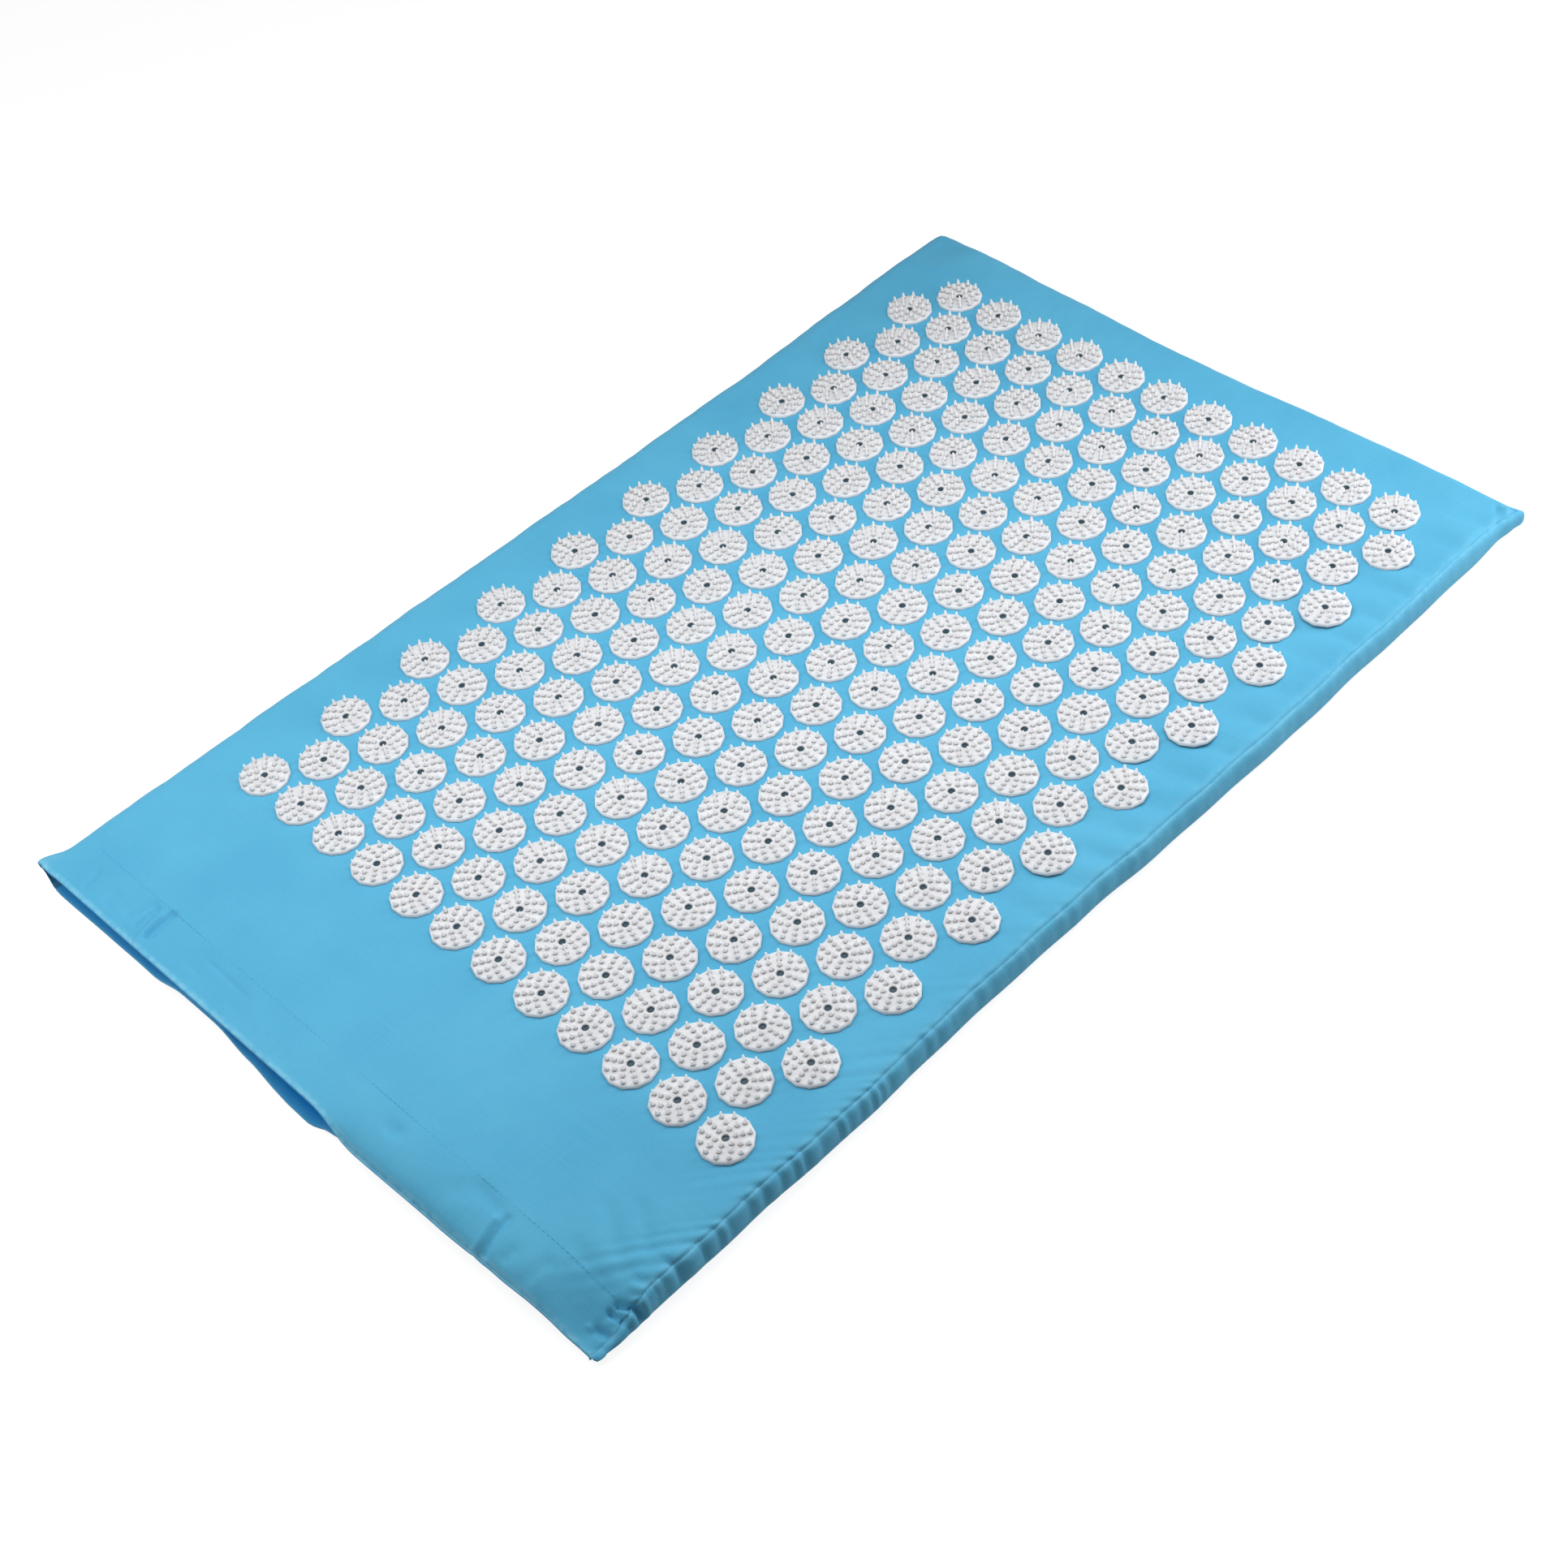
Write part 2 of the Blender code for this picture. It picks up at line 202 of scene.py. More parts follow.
def set_shares(piece: Thing, name: str, shares: Array) -> None:
    """Give each vertex a share from 0 to 1, such as how worn it is, for its finish to read by name."""
    layer = piece.data.attributes.new(name, "FLOAT", "POINT")
    layer.data.foreach_set("value", shares.astype(np.float32).ravel())


def soft_noise(x: Array, y: Array, size: float, seed: int) -> Array:
    """Smooth noise, mostly from -1 to 1: a quarter of the sum of eight plane waves in turned directions.

    Args:
        x: places one way.
        y: places the other way.
        size: about how far apart the bumps are.
        seed: picks the waves.

    Returns:
        The noise at the places.
    """
    dice = np.random.default_rng(seed)
    total = np.zeros(np.broadcast(x, y).shape)
    for turn, stretch, phase in dice.uniform((0, 0.7, 0), (math.tau, 1.5, math.tau), (8, 3)):
        ahead = x * math.cos(turn) + y * math.sin(turn)
        total = total + np.sin(math.tau * ahead / (size * stretch) + phase)
    return total / 4


@dataclass(frozen=True)
class Puckers:
    """Uneven folds that a seam gathers the cloth into."""

    pitch: float
    seed: int
    start: float = -0.6
    end: float = 0.9
    uneven: float = 0.45

    def heights(self, at: Array, sharpness: float | Array) -> Array:
        """How high the folds stand at places along the seam.

        Folds of uneven width and height lie side by side. Across one, from crease to crease, the height is its
        own times a power of sin(pi times the share of its width): the lower the power, the narrower the creases.

        Args:
            at: places along the seam.
            sharpness: 0 for soft waves up to 1 for narrow creases.

        Returns:
            Heights from 0 in a crease to at most 1.
        """
        dice = np.random.default_rng(self.seed)
        count = int((self.end - self.start) / self.pitch * 1.6)
        widths = self.pitch * dice.uniform(1 - self.uneven, 1 + self.uneven, count)
        own = dice.uniform(0.45, 1.0, count)
        edges = self.start + np.concatenate([[0], np.cumsum(widths)])
        index = np.clip(np.searchsorted(edges, at, side="right") - 1, 0, count - 1)
        share = np.clip((at - edges[index]) / widths[index], 0, 1)
        return own[index] * np.sin(math.pi * share) ** (2 - 1.35 * np.asarray(sharpness))


@dataclass(frozen=True)
class Crease:
    """A short straight crease in the cloth, or a ridge where its depth is below zero."""

    x: float
    y: float
    end_x: float
    end_y: float
    width: float
    depth: float

    def lowered(self, x: Array, y: Array) -> Array:
        """How far the cloth is sunk at places: the depth times a bell curve of the distance from the crease."""
        way_x, way_y = self.end_x - self.x, self.end_y - self.y
        along = np.clip(((x - self.x) * way_x + (y - self.y) * way_y) / (way_x**2 + way_y**2), 0, 1)
        away = np.hypot(x - self.x - along * way_x, y - self.y - along * way_y)
        return self.depth * np.exp(-((away / self.width) ** 2))


def creases(*rows: tuple[float, ...]) -> tuple[Crease, ...]:
    """Creases from rows of x and y at both ends, width and depth, all in millimetres."""
    return tuple(Crease(*(value * MM for value in row)) for row in rows)


CORNER_CREASES = creases(
    (-315.2, -200.0, -310.0, -210.0, 1.5, 4.1), (-316.8, -199.0, -314.6, -206.0, 1.0, -1.0),
    (-319.0, -199.0, -317.7, -207.0, 1.4, 3.5), (-327.4, -199.0, -326.2, -205.5, 1.7, 2.4),
    (-328.8, -195.5, -327.8, -199.5, 1.2, -0.8), (-302.0, -199.0, -299.5, -210.0, 1.6, 1.6),
    (-306.0, -200.0, -304.5, -210.0, 1.2, -0.9), (-288.0, -201.0, -286.5, -211.0, 1.4, 1.2),
    (-308.0, -166.0, -313.0, -190.0, 4.0, 0.8), (-286.0, -162.0, -303.0, -193.0, 4.0, 0.8),
    (-276.0, -174.0, -290.0, -196.0, 3.5, 0.7),
)
FAR_CREASES = creases(
    (325.5, -208.5, 334.5, -200.0, 1.4, 1.1), (330.0, -210.0, 336.0, -205.0, 1.1, -0.7),
)
LIP_CREASES = creases(
    (-331.0, 130.5, -315.0, 131.8, 1.8, 3.0), (-337.0, 131.8, -320.0, 136.2, 1.4, -1.4),
    (-330.3, 139.1, -317.8, 141.0, 1.6, 2.1), (-330.0, 150.0, -316.5, 145.0, 1.5, 1.3),
    (-333.0, 164.0, -326.0, 165.0, 1.6, 0.8), (-333.0, 183.0, -324.0, 185.0, 1.8, 0.8),
    (-329.0, 96.0, -320.0, 94.0, 2.0, 1.2), (-321.0, 94.0, -321.5, 62.0, 1.4, 0.6),
    (-330.0, 60.0, -322.0, 62.0, 2.2, 1.2), (-334.0, 53.0, -329.0, 53.0, 1.8, 0.8),
    (-334.0, 18.0, -330.0, 17.5, 2.0, 0.6), (-324.5, -57.0, -322.5, -57.5, 2.6, 2.4),
    (-325.0, -104.0, -319.0, -115.0, 5.5, 0.9), (-317.2, -111.0, -319.5, -126.0, 3.4, 0.9),
    (-338.0, -131.8, -324.0, -129.6, 1.8, -2.2), (-337.0, -137.2, -320.0, -134.0, 2.0, 1.8),
    (-333.0, -147.0, -329.0, -148.0, 3.0, 1.2), (-335.0, -161.0, -323.0, -164.0, 3.0, 0.9),
)


def sunk(groups: tuple[Crease, ...], x: Array, y: Array) -> Array:
    """How far all of those creases together sink the cloth at places."""
    return sum(crease.lowered(x, y) for crease in groups)


class Side(Enum):
    """A long side of the mat, by the sign of its y."""

    LEFT = 1
    RIGHT = -1


@dataclass(frozen=True)
class CornerSection:
    """How a long side's edge lies at its mouth corner, from the underside round to the top.

    Args:
        rows: an angle in degrees, its distance inside the outline in millimetres, and its height from -1 at the
            underside to 1 at the top.
        reach: how far from the mouth the side takes to become round.
    """

    rows: tuple[tuple[float, float, float], ...]
    reach: float

    def at(self, angle: Array | float) -> tuple[Array, Array]:
        """The distance inside the outline and the height at an angle, straight from row to row."""
        angles, insets, heights = np.array(self.rows).T
        return np.interp(angle, angles * DEGREE, insets * MM), np.interp(angle, angles * DEGREE, heights)


SEAM_ANGLE = 53 * DEGREE
CORNERS = {
    Side.LEFT: CornerSection((
        (-90, 4.5, -1.0), (-40, 1.8, -0.62), (0, 1.0, 0.05), (30, -0.8, 0.70), (53, -2.4, 0.96), (90, 10.3, 1.0),
    ), 0.020),
    Side.RIGHT: CornerSection((
        (-90, 8.0, -1.0), (-45, 1.8, -0.75), (0, 0.0, -0.05), (25, 1.2, 0.50), (53, 3.8, 0.86), (90, 11.5, 1.0),
    ), 0.034),
}


@dataclass(frozen=True)
class CoverShape:
    """The cover's outline, its heights and its edges, which its pieces share.

    The lips' heights and fronts are given by share: how far across the mouth a place is, from the left long side
    at 0 to the right one at 1. The swells are what the outline adds to its plain hollow.
    """

    half_length: float = 0.340
    half_width: float = 0.213
    top: float = 0.0206
    draw: float = 0.003
    edge_depth: float = 0.0103
    edge_power: float = 3.0
    roll_reach: float = 0.0325
    roll_power: float = 3.0
    hem_land: float = 0.016
    hem_slope: float = 0.014
    hem_thickness: float = 0.002
    upper_lip: Knots = knots((0.0, 20.3), (0.545, 20.3), (0.615, 6.2), (0.93, 6.2), (1.0, 5.6), unit=1)
    lower_lip: Knots = knots(
        (0.0, 0.0), (0.12, 0.0), (0.21, 2.8), (0.29, 13.3), (0.356, 13.3), (0.41, 6.0), (0.46, 1.5), (0.49, 0.0),
        (0.53, 0.0), (0.56, 3.5), (0.60, 6.2), (0.86, 5.5), (0.95, 3.0), (1.0, 1.6), unit=1,
    )
    upper_front: Knots = knots(
        (0.0, -341.2), (0.05, -340.6), (0.53, -340.0), (0.61, -342.5), (0.76, -341.4), (0.86, -340.2),
        (0.95, -338.4), (1.0, -337.4), unit=1,
    )
    lower_front: Knots = knots(
        (0.0, -339.5), (0.04, -340.2), (0.14, -339.6), (0.28, -340.4), (0.356, -340.2), (0.42, -340.8),
        (0.50, -342.4), (0.53, -342.6), (0.56, -340.0), (0.60, -338.5), (0.86, -337.8), (0.95, -337.0),
        (1.0, -336.6), unit=1,
    )
    left_swell: Knots = knots(
        (-340, 2.4), (-325, 1.8), (-300, 2.2), (-40, 2.4), (60, 1.0), (120, 0.0), (185, -0.8), (240, 0.0),
        (300, 0.6), (334, 1.8), (345, 2.2),
    )
    right_swell: Knots = knots(
        (-340, -4.6), (-332, -3.4), (-322, -2.6), (-310, -3.2), (-280, -3.0), (-250, -3.0), (-187, -1.4),
        (-127, -1.8), (-69, -2.2), (-15, -1.0), (40, 0.4), (100, 1.2), (150, 0.6), (220, -0.8), (280, -2.2),
        (322, -2.4), (334, -0.8), (343, 1.0),
    )
    end_swell: Knots = knots(
        (-213, 3.6), (-202, 1.8), (-190, 1.6), (-100, 2.2), (-30, 0.8), (20, 0.0), (60, 1.0), (120, 1.4),
        (170, 2.2), (213, 3.4),
    )
    blunt_corners: tuple[tuple[float, float, float], ...] = (
        (0.3436, 0.2152, 0.0066), (0.3436, -0.2140, 0.0034), (-0.3384, -0.2090, 0.0026), (-0.3410, 0.2152, 0.0030),
    )
    far_left_drop: float = 0.0026
    far_right_drop: float = 0.0018
    far_left_rise: float = 0.0030
    far_right_rise: float = 0.0050
    corner_land: float = 0.012
    corner_reach: float = 0.030

    def share(self, y: Array) -> Array:
        """How far across the mouth a place is."""
        return (self.half_width - y) / (2 * self.half_width)

    def hollow(self, at: Array, half: float) -> Array:
        """How far a side of that half length is drawn in: half the draw times (1 − cosine) over its length."""
        return self.draw * (1 - np.cos(math.tau * (at + half) / (2 * half))) / 2

    def side_reach(self, x: Array, side: Side) -> Array:
        """Half the width at places along a long side.

        The half width less its hollow, with the corner's own swell and two slight sine waves added.

        Args:
            x: places along the side.
            side: which side.

        Returns:
            The distances from the middle line.
        """
        swell = eased(x, self.left_swell if side is Side.LEFT else self.right_swell)
        wave = 0.0003 * np.sin(x * 61 + side.value) + 0.0002 * np.sin(x * 133 + 2 * side.value)
        return self.half_width - self.hollow(x, self.half_length) + swell + wave * fade(np.abs(x) - 0.24, 0.07)

    def end_reach(self, y: Array) -> Array:
        """The far end's x at places across it, made as side_reach is."""
        wave = 0.0003 * np.sin(y * 83 + 0.7) * fade(np.abs(y) - 0.12, 0.06)
        return self.half_length - self.hollow(y, self.half_width) + eased(y, self.end_swell) + wave

    def bulge(self, angle: Array | float) -> tuple[Array, Array]:
        """A place on the edge's section, as shares of its depth and of its half height.

        The section is half a superellipse, so the shares are powers of the cosine and the sine: two over the
        edge's power. It is fuller than half a circle, as a boxed cushion's edge is.

        Args:
            angle: the place's angle, from -90 degrees at the underside to 90 at the top.

        Returns:
            How far out and how far up it is.
        """
        power = 2 / self.edge_power
        return np.abs(np.cos(angle)) ** power, np.sign(np.sin(angle)) * np.abs(np.sin(angle)) ** power

    def edge_inset(self, angle: Array | float) -> Array:
        """How far inside the outline the edge is at an angle."""
        return self.edge_depth * (1 - self.bulge(angle)[0])

    def at_corners(self, x: Array, y: Array, left: float, right: float) -> Array:
        """A height that holds at the far left corner and another at the right one, each eased away to nothing."""
        total = 0.0
        for side, height in ((Side.LEFT, left), (Side.RIGHT, right)):
            away = np.hypot(x - self.half_length, y - side.value * self.half_width)
            total = total + height * fade(np.maximum(away - self.corner_land, 0), self.corner_reach)
        return total

    def rise(self, x: Array, share: Array) -> Array:
        """How far the upper cloth has come from its lip's height to the panel's, from 0 to 1.

        From the lip it rises over a quarter of a superellipse, (1 − (1 − t)^p)^(1/p), as a full cushion does.
        Towards the pinched corner it rises late and is eased at both ends.

        Args:
            x: places along the mat.
            share: how far across the mouth they are.

        Returns:
            The shares of the rise.
        """
        along = x - eased(share, self.upper_front)
        full = (1 - (1 - np.clip(along / self.roll_reach, 0, 1)) ** self.roll_power) ** (1 / self.roll_power)
        late = smooth((along - 0.004) / 0.036)
        return full + (late - full) * smooth((share - 0.87) / 0.11)

    def top_height(self, x: Array, y: Array) -> Array:
        """The upper cloth's outer face: from its lip's height to the panel's, and lower at the far corners."""
        share = self.share(y)
        lip = eased(share, self.upper_lip)
        height = lip + (self.top - lip) * self.rise(x, share)
        return height - self.at_corners(x, y, self.far_left_drop, self.far_right_drop)

    def bottom_height(self, x: Array, y: Array) -> Array:
        """The lower cloth's outer face: the floor, but at the lower lip and the far corners."""
        lifted = 1 - smooth((x + self.half_length - self.hem_land) / self.hem_slope)
        height = eased(self.share(y), self.lower_lip) * lifted
        return height + self.at_corners(x, y, self.far_left_rise, self.far_right_rise)

    def blunted(self, points: Array) -> Array:
        """Points with the outline's corners rounded.

        Within a corner's square, a place is drawn towards the square's inner corner by the larger of the cosine
        and sine of its direction, which turns squares round that corner into circles.

        Args:
            points: places with x, y and z last.

        Returns:
            The moved places.
        """
        moved = points.copy()
        for *corner, radius in self.blunt_corners:
            signs = np.sign(corner)
            off = np.maximum((moved[..., :2] - corner) * signs + radius, 0)
            away = np.maximum(np.hypot(off[..., 0], off[..., 1]), 1e-9)
            pull = np.where(off.min(axis=-1) > 0, 1 - off.max(axis=-1) / away, 0.0)
            moved[..., :2] -= signs * off * pull[..., None]
        return moved

    def flat_reach(self, x: Array, side: Side) -> Array:
        """How far from the middle line the cloth lies flat before it turns over a long side's edge."""
        corner = CORNERS[side]
        part = fade(x + self.half_length, corner.reach)
        return self.side_reach(x, side) - self.edge_depth * (1 - part) - corner.at(math.pi / 2)[0] * part

    def side_section(self, x: Array, side: Side, angle: Array) -> tuple[Array, Array]:
        """Places on a long side's edge.

        The edge bulges from the underside (-90 degrees) over the outline to the top (90 degrees). Near the mouth
        it turns into the corner's own section.

        Args:
            x: places along the side.
            side: which side.
            angle: places round the edge.

        Returns:
            The places' y and z.
        """
        corner = CORNERS[side]
        part = fade(x + self.half_length, corner.reach)
        inset, level = corner.at(angle)
        inset = self.edge_inset(angle) * (1 - part) + inset * part
        level = self.bulge(angle)[1] * (1 - part) + level * part
        flat_y = side.value * self.flat_reach(x, side)
        high, low = self.top_height(x, flat_y), self.bottom_height(x, flat_y)
        return side.value * (self.side_reach(x, side) - inset), (high + low) / 2 + (high - low) / 2 * level

    def end_section(self, y: Array, angle: Array) -> tuple[Array, Array]:
        """The x and z of places on the far end's edge, which bulges as the long sides do."""
        flat_x = self.end_reach(y) - self.edge_depth
        high, low = self.top_height(flat_x, y), self.bottom_height(flat_x, y)
        return self.end_reach(y) - self.edge_inset(angle), (high + low) / 2 + (high - low) / 2 * self.bulge(angle)[1]


@dataclass(frozen=True)
class Gathering:
    """How a seam gathers the cloth: how deep its puckers are, how far they run and how they slant."""

    puckers: Puckers
    depth: Knots
    reach: Knots
    slant: Knots
    panel_share: float = 0.5
    seam_share: float = 0.7
    crest: float = 0.55

    def on_panel(self, along: Array, away: Array) -> Array:
        """How far the panel's cloth stands out at a distance from the seam.

        The folds fade with the distance and grow softer, and run off at a slant. Noise makes some of them long
        and others short.

        Args:
            along: places along the seam.
            away: distances from the seam.

        Returns:
            Heights, of either sign.
        """
        where = along + away * eased(along, self.slant)
        uneven = soft_noise(where, where * 0.3, self.puckers.pitch * 4.2, self.puckers.seed)
        reach = eased(along, self.reach) * (1 + 0.5 * uneven)
        folds = self.puckers.heights(where, fade(away, reach * 0.5) * 0.9)
        beside = fade(away, 0.005)
        share = self.seam_share * beside + self.panel_share * np.clip(0.75 + 0.8 * uneven, 0.1, 1.4) * (1 - beside)
        return eased(along, self.depth) * share * fade(away, reach) * (folds - self.crest)

    def on_band(self, along: Array, share: Array) -> Array:
        """How far the edge band stands out at a share of its way from the seam to the underside."""
        strength = eased(share, ((0.0, self.seam_share), (0.10, 0.95), (0.34, 0.90), (0.52, 0.25), (0.64, 0.0)))
        return eased(along, self.depth) * strength * (self.puckers.heights(along, 0.9) - self.crest)


RIGHT_GATHERING = Gathering(
    puckers=Puckers(pitch=0.0088, seed=4, uneven=0.6),
    depth=knots((-340, 0.5), (-326, 1.9), (-300, 3.0), (-270, 2.6), (-200, 1.9), (-50, 1.1), (120, 0.5), (340, 0.3)),
    reach=knots((-340, 34), (-250, 42), (-100, 30), (340, 20)),
    slant=((-0.34, 1.25), (-0.1, 1.1), (0.05, 0.45), (0.34, 0.25)),
)
RIGHT_DRAWS = Gathering(
    puckers=Puckers(pitch=0.026, seed=8, uneven=0.25),
    depth=knots((-160, 0.0), (50, 2.2), (310, 3.2), (340, 0.6)),
    reach=knots((-100, 45), (340, 55)),
    slant=((-0.34, 0.28), (0.34, 0.28)),
    panel_share=1.0,
    seam_share=0.0,
)
LEFT_GATHERING = Gathering(
    puckers=Puckers(pitch=0.021, seed=11),
    depth=knots((-340, 0.2), (-250, 0.4), (340, 0.3)),
    reach=knots((-340, 26), (340, 30)),
    slant=((-0.34, -0.6), (0.34, -0.6)),
)
END_GATHERING = Gathering(
    puckers=Puckers(pitch=0.019, seed=23),
    depth=knots((-213, 0.2), (213, 0.3)),
    reach=knots((-213, 22), (213, 22)),
    slant=((-0.213, 0.4), (0.213, -0.4)),
)


class Shader:
    """A material's nodes, with short ways to add to them."""

    def __init__(self, name: str, **surface: object) -> None:
        """Start a material, with values for its Principled shader's sockets by name, with _ for a space."""
        self.material = bpy.data.materials.new(name)
        self.material.use_nodes = True
        self.tree = self.material.node_tree
        self.surface = self.tree.nodes["Principled BSDF"]
        for socket, value in surface.items():
            self.put(self.surface.inputs[socket.replace("_", " ")], value)

    def put(self, socket: Socket, value: object) -> None:
        """Link a socket to a value that is a link, or set it. Colours are opaque."""
        if isinstance(value, Socket):
            self.tree.links.new(value, socket)
        else:
            socket.default_value = (*value, 1.0) if socket.type == "RGBA" else value

    def node(self, kind: str, **inputs: object) -> bpy.types.Node:
        """Add a node.

        Args:
            kind: the node's type, without the words that all types start with.
            inputs: values or links for its sockets, or its own settings, by name, with _ for a space.

        Returns:
            The node.
        """
        made = self.tree.nodes.new("ShaderNode" + kind)
        for name, value in inputs.items():
            socket = made.inputs.get(name.replace("_", " "))
            if socket is None:
                setattr(made, name, value)
            else:
                self.put(socket, value)
        return made

    def math(self, operation: str, *values: object) -> Socket:
        """The result of a sum on one or two values or links."""
        made = self.node("Math", operation=operation)
        for socket, value in zip(made.inputs, values):
            self.put(socket, value)
        return made.outputs[0]

    def mix(self, share: object, first: object, second: object) -> Socket:
        """A colour between two colours or links."""
        made = self.node("Mix", data_type="RGBA")
        for place, value in ((0, share), (6, first), (7, second)):
            self.put(made.inputs[place], value)
        return made.outputs[2]

    def remap(self, value: object, low: float, high: float, to_low: float = 0.0, to_high: float = 1.0) -> Socket:
        """A value carried from one range to another, and kept in it."""
        made = self.node("MapRange", Value=value)
        for socket, bound in zip(made.inputs[1:5], (low, high, to_low, to_high)):
            socket.default_value = bound
        return made.outputs[0]

    def place(self) -> Socket:
        """Where a point of the object is."""
        return self.node("TexCoord").outputs["Object"]

    def marked(self, name: str) -> Socket:
        """The share that a piece's vertices carry by that name, and 0 where they carry none."""
        return self.node("Attribute", attribute_name=name).outputs["Fac"]

    def noise(self, where: object, size: float, detail: float = 3.0) -> Socket:
        """Noise of about that size, in metres, at coordinates."""
        return self.node("TexNoise", Vector=where, Scale=1 / size, Detail=detail).outputs["Fac"]

    def bump(self, height: object, depth: float, strength: float = 1.0, below: Socket | None = None) -> Socket:
        """A normal bent by a height, which may lie over another bent normal."""
        made = self.node("Bump", Height=height, Distance=depth, Strength=strength)
        if below is not None:
            self.put(made.inputs["Normal"], below)
        return made.outputs["Normal"]

    def finish(self, colour: Socket, normal: Socket) -> bpy.types.Material:
        """Join the colour and the normal to the surface, and return the material."""
        self.put(self.surface.inputs["Base Color"], colour)
        self.put(self.surface.inputs["Normal"], normal)
        return self.material


@dataclass(frozen=True)
class CottonFinish:
    """Plain-woven dyed cotton with a soft sheen, paler where it is worn and where a highlight is painted at the lip.

    Its inner layers take a deeper blue: painted shade inside the cover.
    """

    colour: Colour = (0.088, 0.425, 0.655)
    deep: Colour = (0.074, 0.390, 0.620)
    # Pale worn blue, which also paints the highlight along the lip.
    worn: Colour = (0.210, 0.560, 0.770)
    # Painted shade: the deep blue that the cover's inner layers take, standing in for the shade inside the cover.
    inside: Colour = (0.006, 0.340, 0.860)
    thread: float = 0.00045
    streaks: float = 18.0

    def material(self) -> bpy.types.Material:
        """Build it.

        The weave is the product of two sine waves on the flat cut, one thread wide each. The colour drifts with
        noise a few centimetres wide, and with streaks one thread wide, as yarns take the dye.

        Returns:
            The material.
        """
        made = Shader("cover_cotton", Roughness=0.70, Sheen_Weight=0.10, Sheen_Roughness=0.45,
                      Specular_IOR_Level=0.24)
        flat = made.node("UVMap", uv_map="flat_cut").outputs["UV"]
        place = made.place()
        parts = made.node("SeparateXYZ", Vector=flat)
        waves = [made.math("SINE", made.math("MULTIPLY", part, math.pi / self.thread)) for part in parts.outputs[:2]]
        weave = made.math("MULTIPLY", *waves)
        yarns = []
        for stretch in ((1 / self.thread, self.streaks, 1.0), (self.streaks, 1 / self.thread, 1.0)):
            stretched = made.node("Mapping", Vector=flat, Scale=stretch).outputs[0]
            yarns.append(made.noise(stretched, 1.0, 1.0))
        yarn = made.math("ADD", *yarns)
        colour = made.mix(made.remap(made.noise(place, 0.055, 2.0), 0.35, 0.65), self.deep, self.colour)
        colour = made.mix(made.remap(yarn, 0.6, 1.4, 0.0, 0.14), colour, self.worn)
        # Where the cloth is worn it pales towards the worn blue; along the lip this also paints a highlight.
        rubbed_with_highlight = made.math("MULTIPLY", made.marked("wear_and_lip_highlight"), made.remap(made.noise(place, 0.004), 0.35, 0.6, 0.25))
        colour = made.mix(rubbed_with_highlight, colour, self.worn)
        # Painted shade: the inner layers turn deep blue by the "inside" attribute.
        colour = made.mix(made.marked("inside"), colour, self.inside)
        fine = made.math("MULTIPLY", made.noise(place, 0.007), 0.25)
        wrinkles = made.math("ADD", made.noise(place, 0.030, 2.0), fine)
        normal = made.bump(yarn, 0.00006, 0.6, made.bump(wrinkles, 0.0011))
        return made.finish(colour, made.bump(weave, 0.00005, 0.45, normal))


@dataclass(frozen=True)
class MouldedFinish:
    """Off-white moulded plastic with a fine satin grain."""

    colour: Colour = (0.800, 0.812, 0.832)
    shade: Colour = (0.775, 0.768, 0.792)
    # Painted shade: the dark colour that stands in for the shade down each disc's hole.
    hollow: Colour = (0.040, 0.085, 0.115)
    depth: float = 0.0055

    def material(self) -> bpy.types.Material:
        """Build it.

        Two near whites drift into each other by noise a few millimetres wide, over a fine grain. Down in a disc's
        hole, which the "deep" attribute marks, it turns to a dark colour: painted shade for the hole's depth.

        Returns:
            The material.
        """
        made = Shader("disc_plastic", Roughness=0.34, Specular_IOR_Level=0.40, Subsurface_Weight=0.90,
                      Subsurface_Radius=(1.0, 0.95, 0.95), Subsurface_Scale=self.depth)
        place = made.place()
        colour = made.mix(made.remap(made.noise(place, 0.0035), 0.35, 0.65), self.colour, self.shade)
        # Painted shade down the holes, by the "deep" attribute.
        colour = made.mix(made.marked("deep"), colour, self.hollow)
        flow = made.bump(made.noise(place, 0.004, 2.0), 0.00012)
        return made.finish(colour, made.bump(made.noise(place, 0.0004, 2.0), 0.00003, 0.5, flow))


@dataclass(frozen=True)
class FoamFinish:
    """Cream open-cell foam with fine pores."""

    colour: Colour = (0.80, 0.75, 0.60)
    # Painted shade: the darker colour down in the pores, which also tints the broad unevenness.
    pore: Colour = (0.58, 0.52, 0.38)
    cell: float = 0.0011

    def material(self) -> bpy.types.Material:
        """Build it: cells of a Voronoi pattern, with painted shade in the middle of each pore, over broad unevenness.
        """
        made = Shader("core_foam", Roughness=0.95)
        place = made.place()
        cells = made.node("TexVoronoi", Vector=place, Scale=1 / self.cell).outputs["Distance"]
        pores = made.remap(cells, 0.15, 0.6)
        # Painted shade in the pits of the pores.
        colour = made.mix(made.math("MULTIPLY", made.math("SUBTRACT", 1.0, pores), 0.55), self.colour, self.pore)
        colour = made.mix(made.remap(made.noise(place, 0.05), 0.3, 0.7, 0.0, 0.3), colour, self.pore)
        return made.finish(colour, made.bump(pores, 0.0003, 0.8, made.bump(made.noise(place, 0.012), 0.0006)))


class Tape(Enum):
    """The two halves of a touch fastener."""

    HOOK = "hook"
    LOOP = "loop"


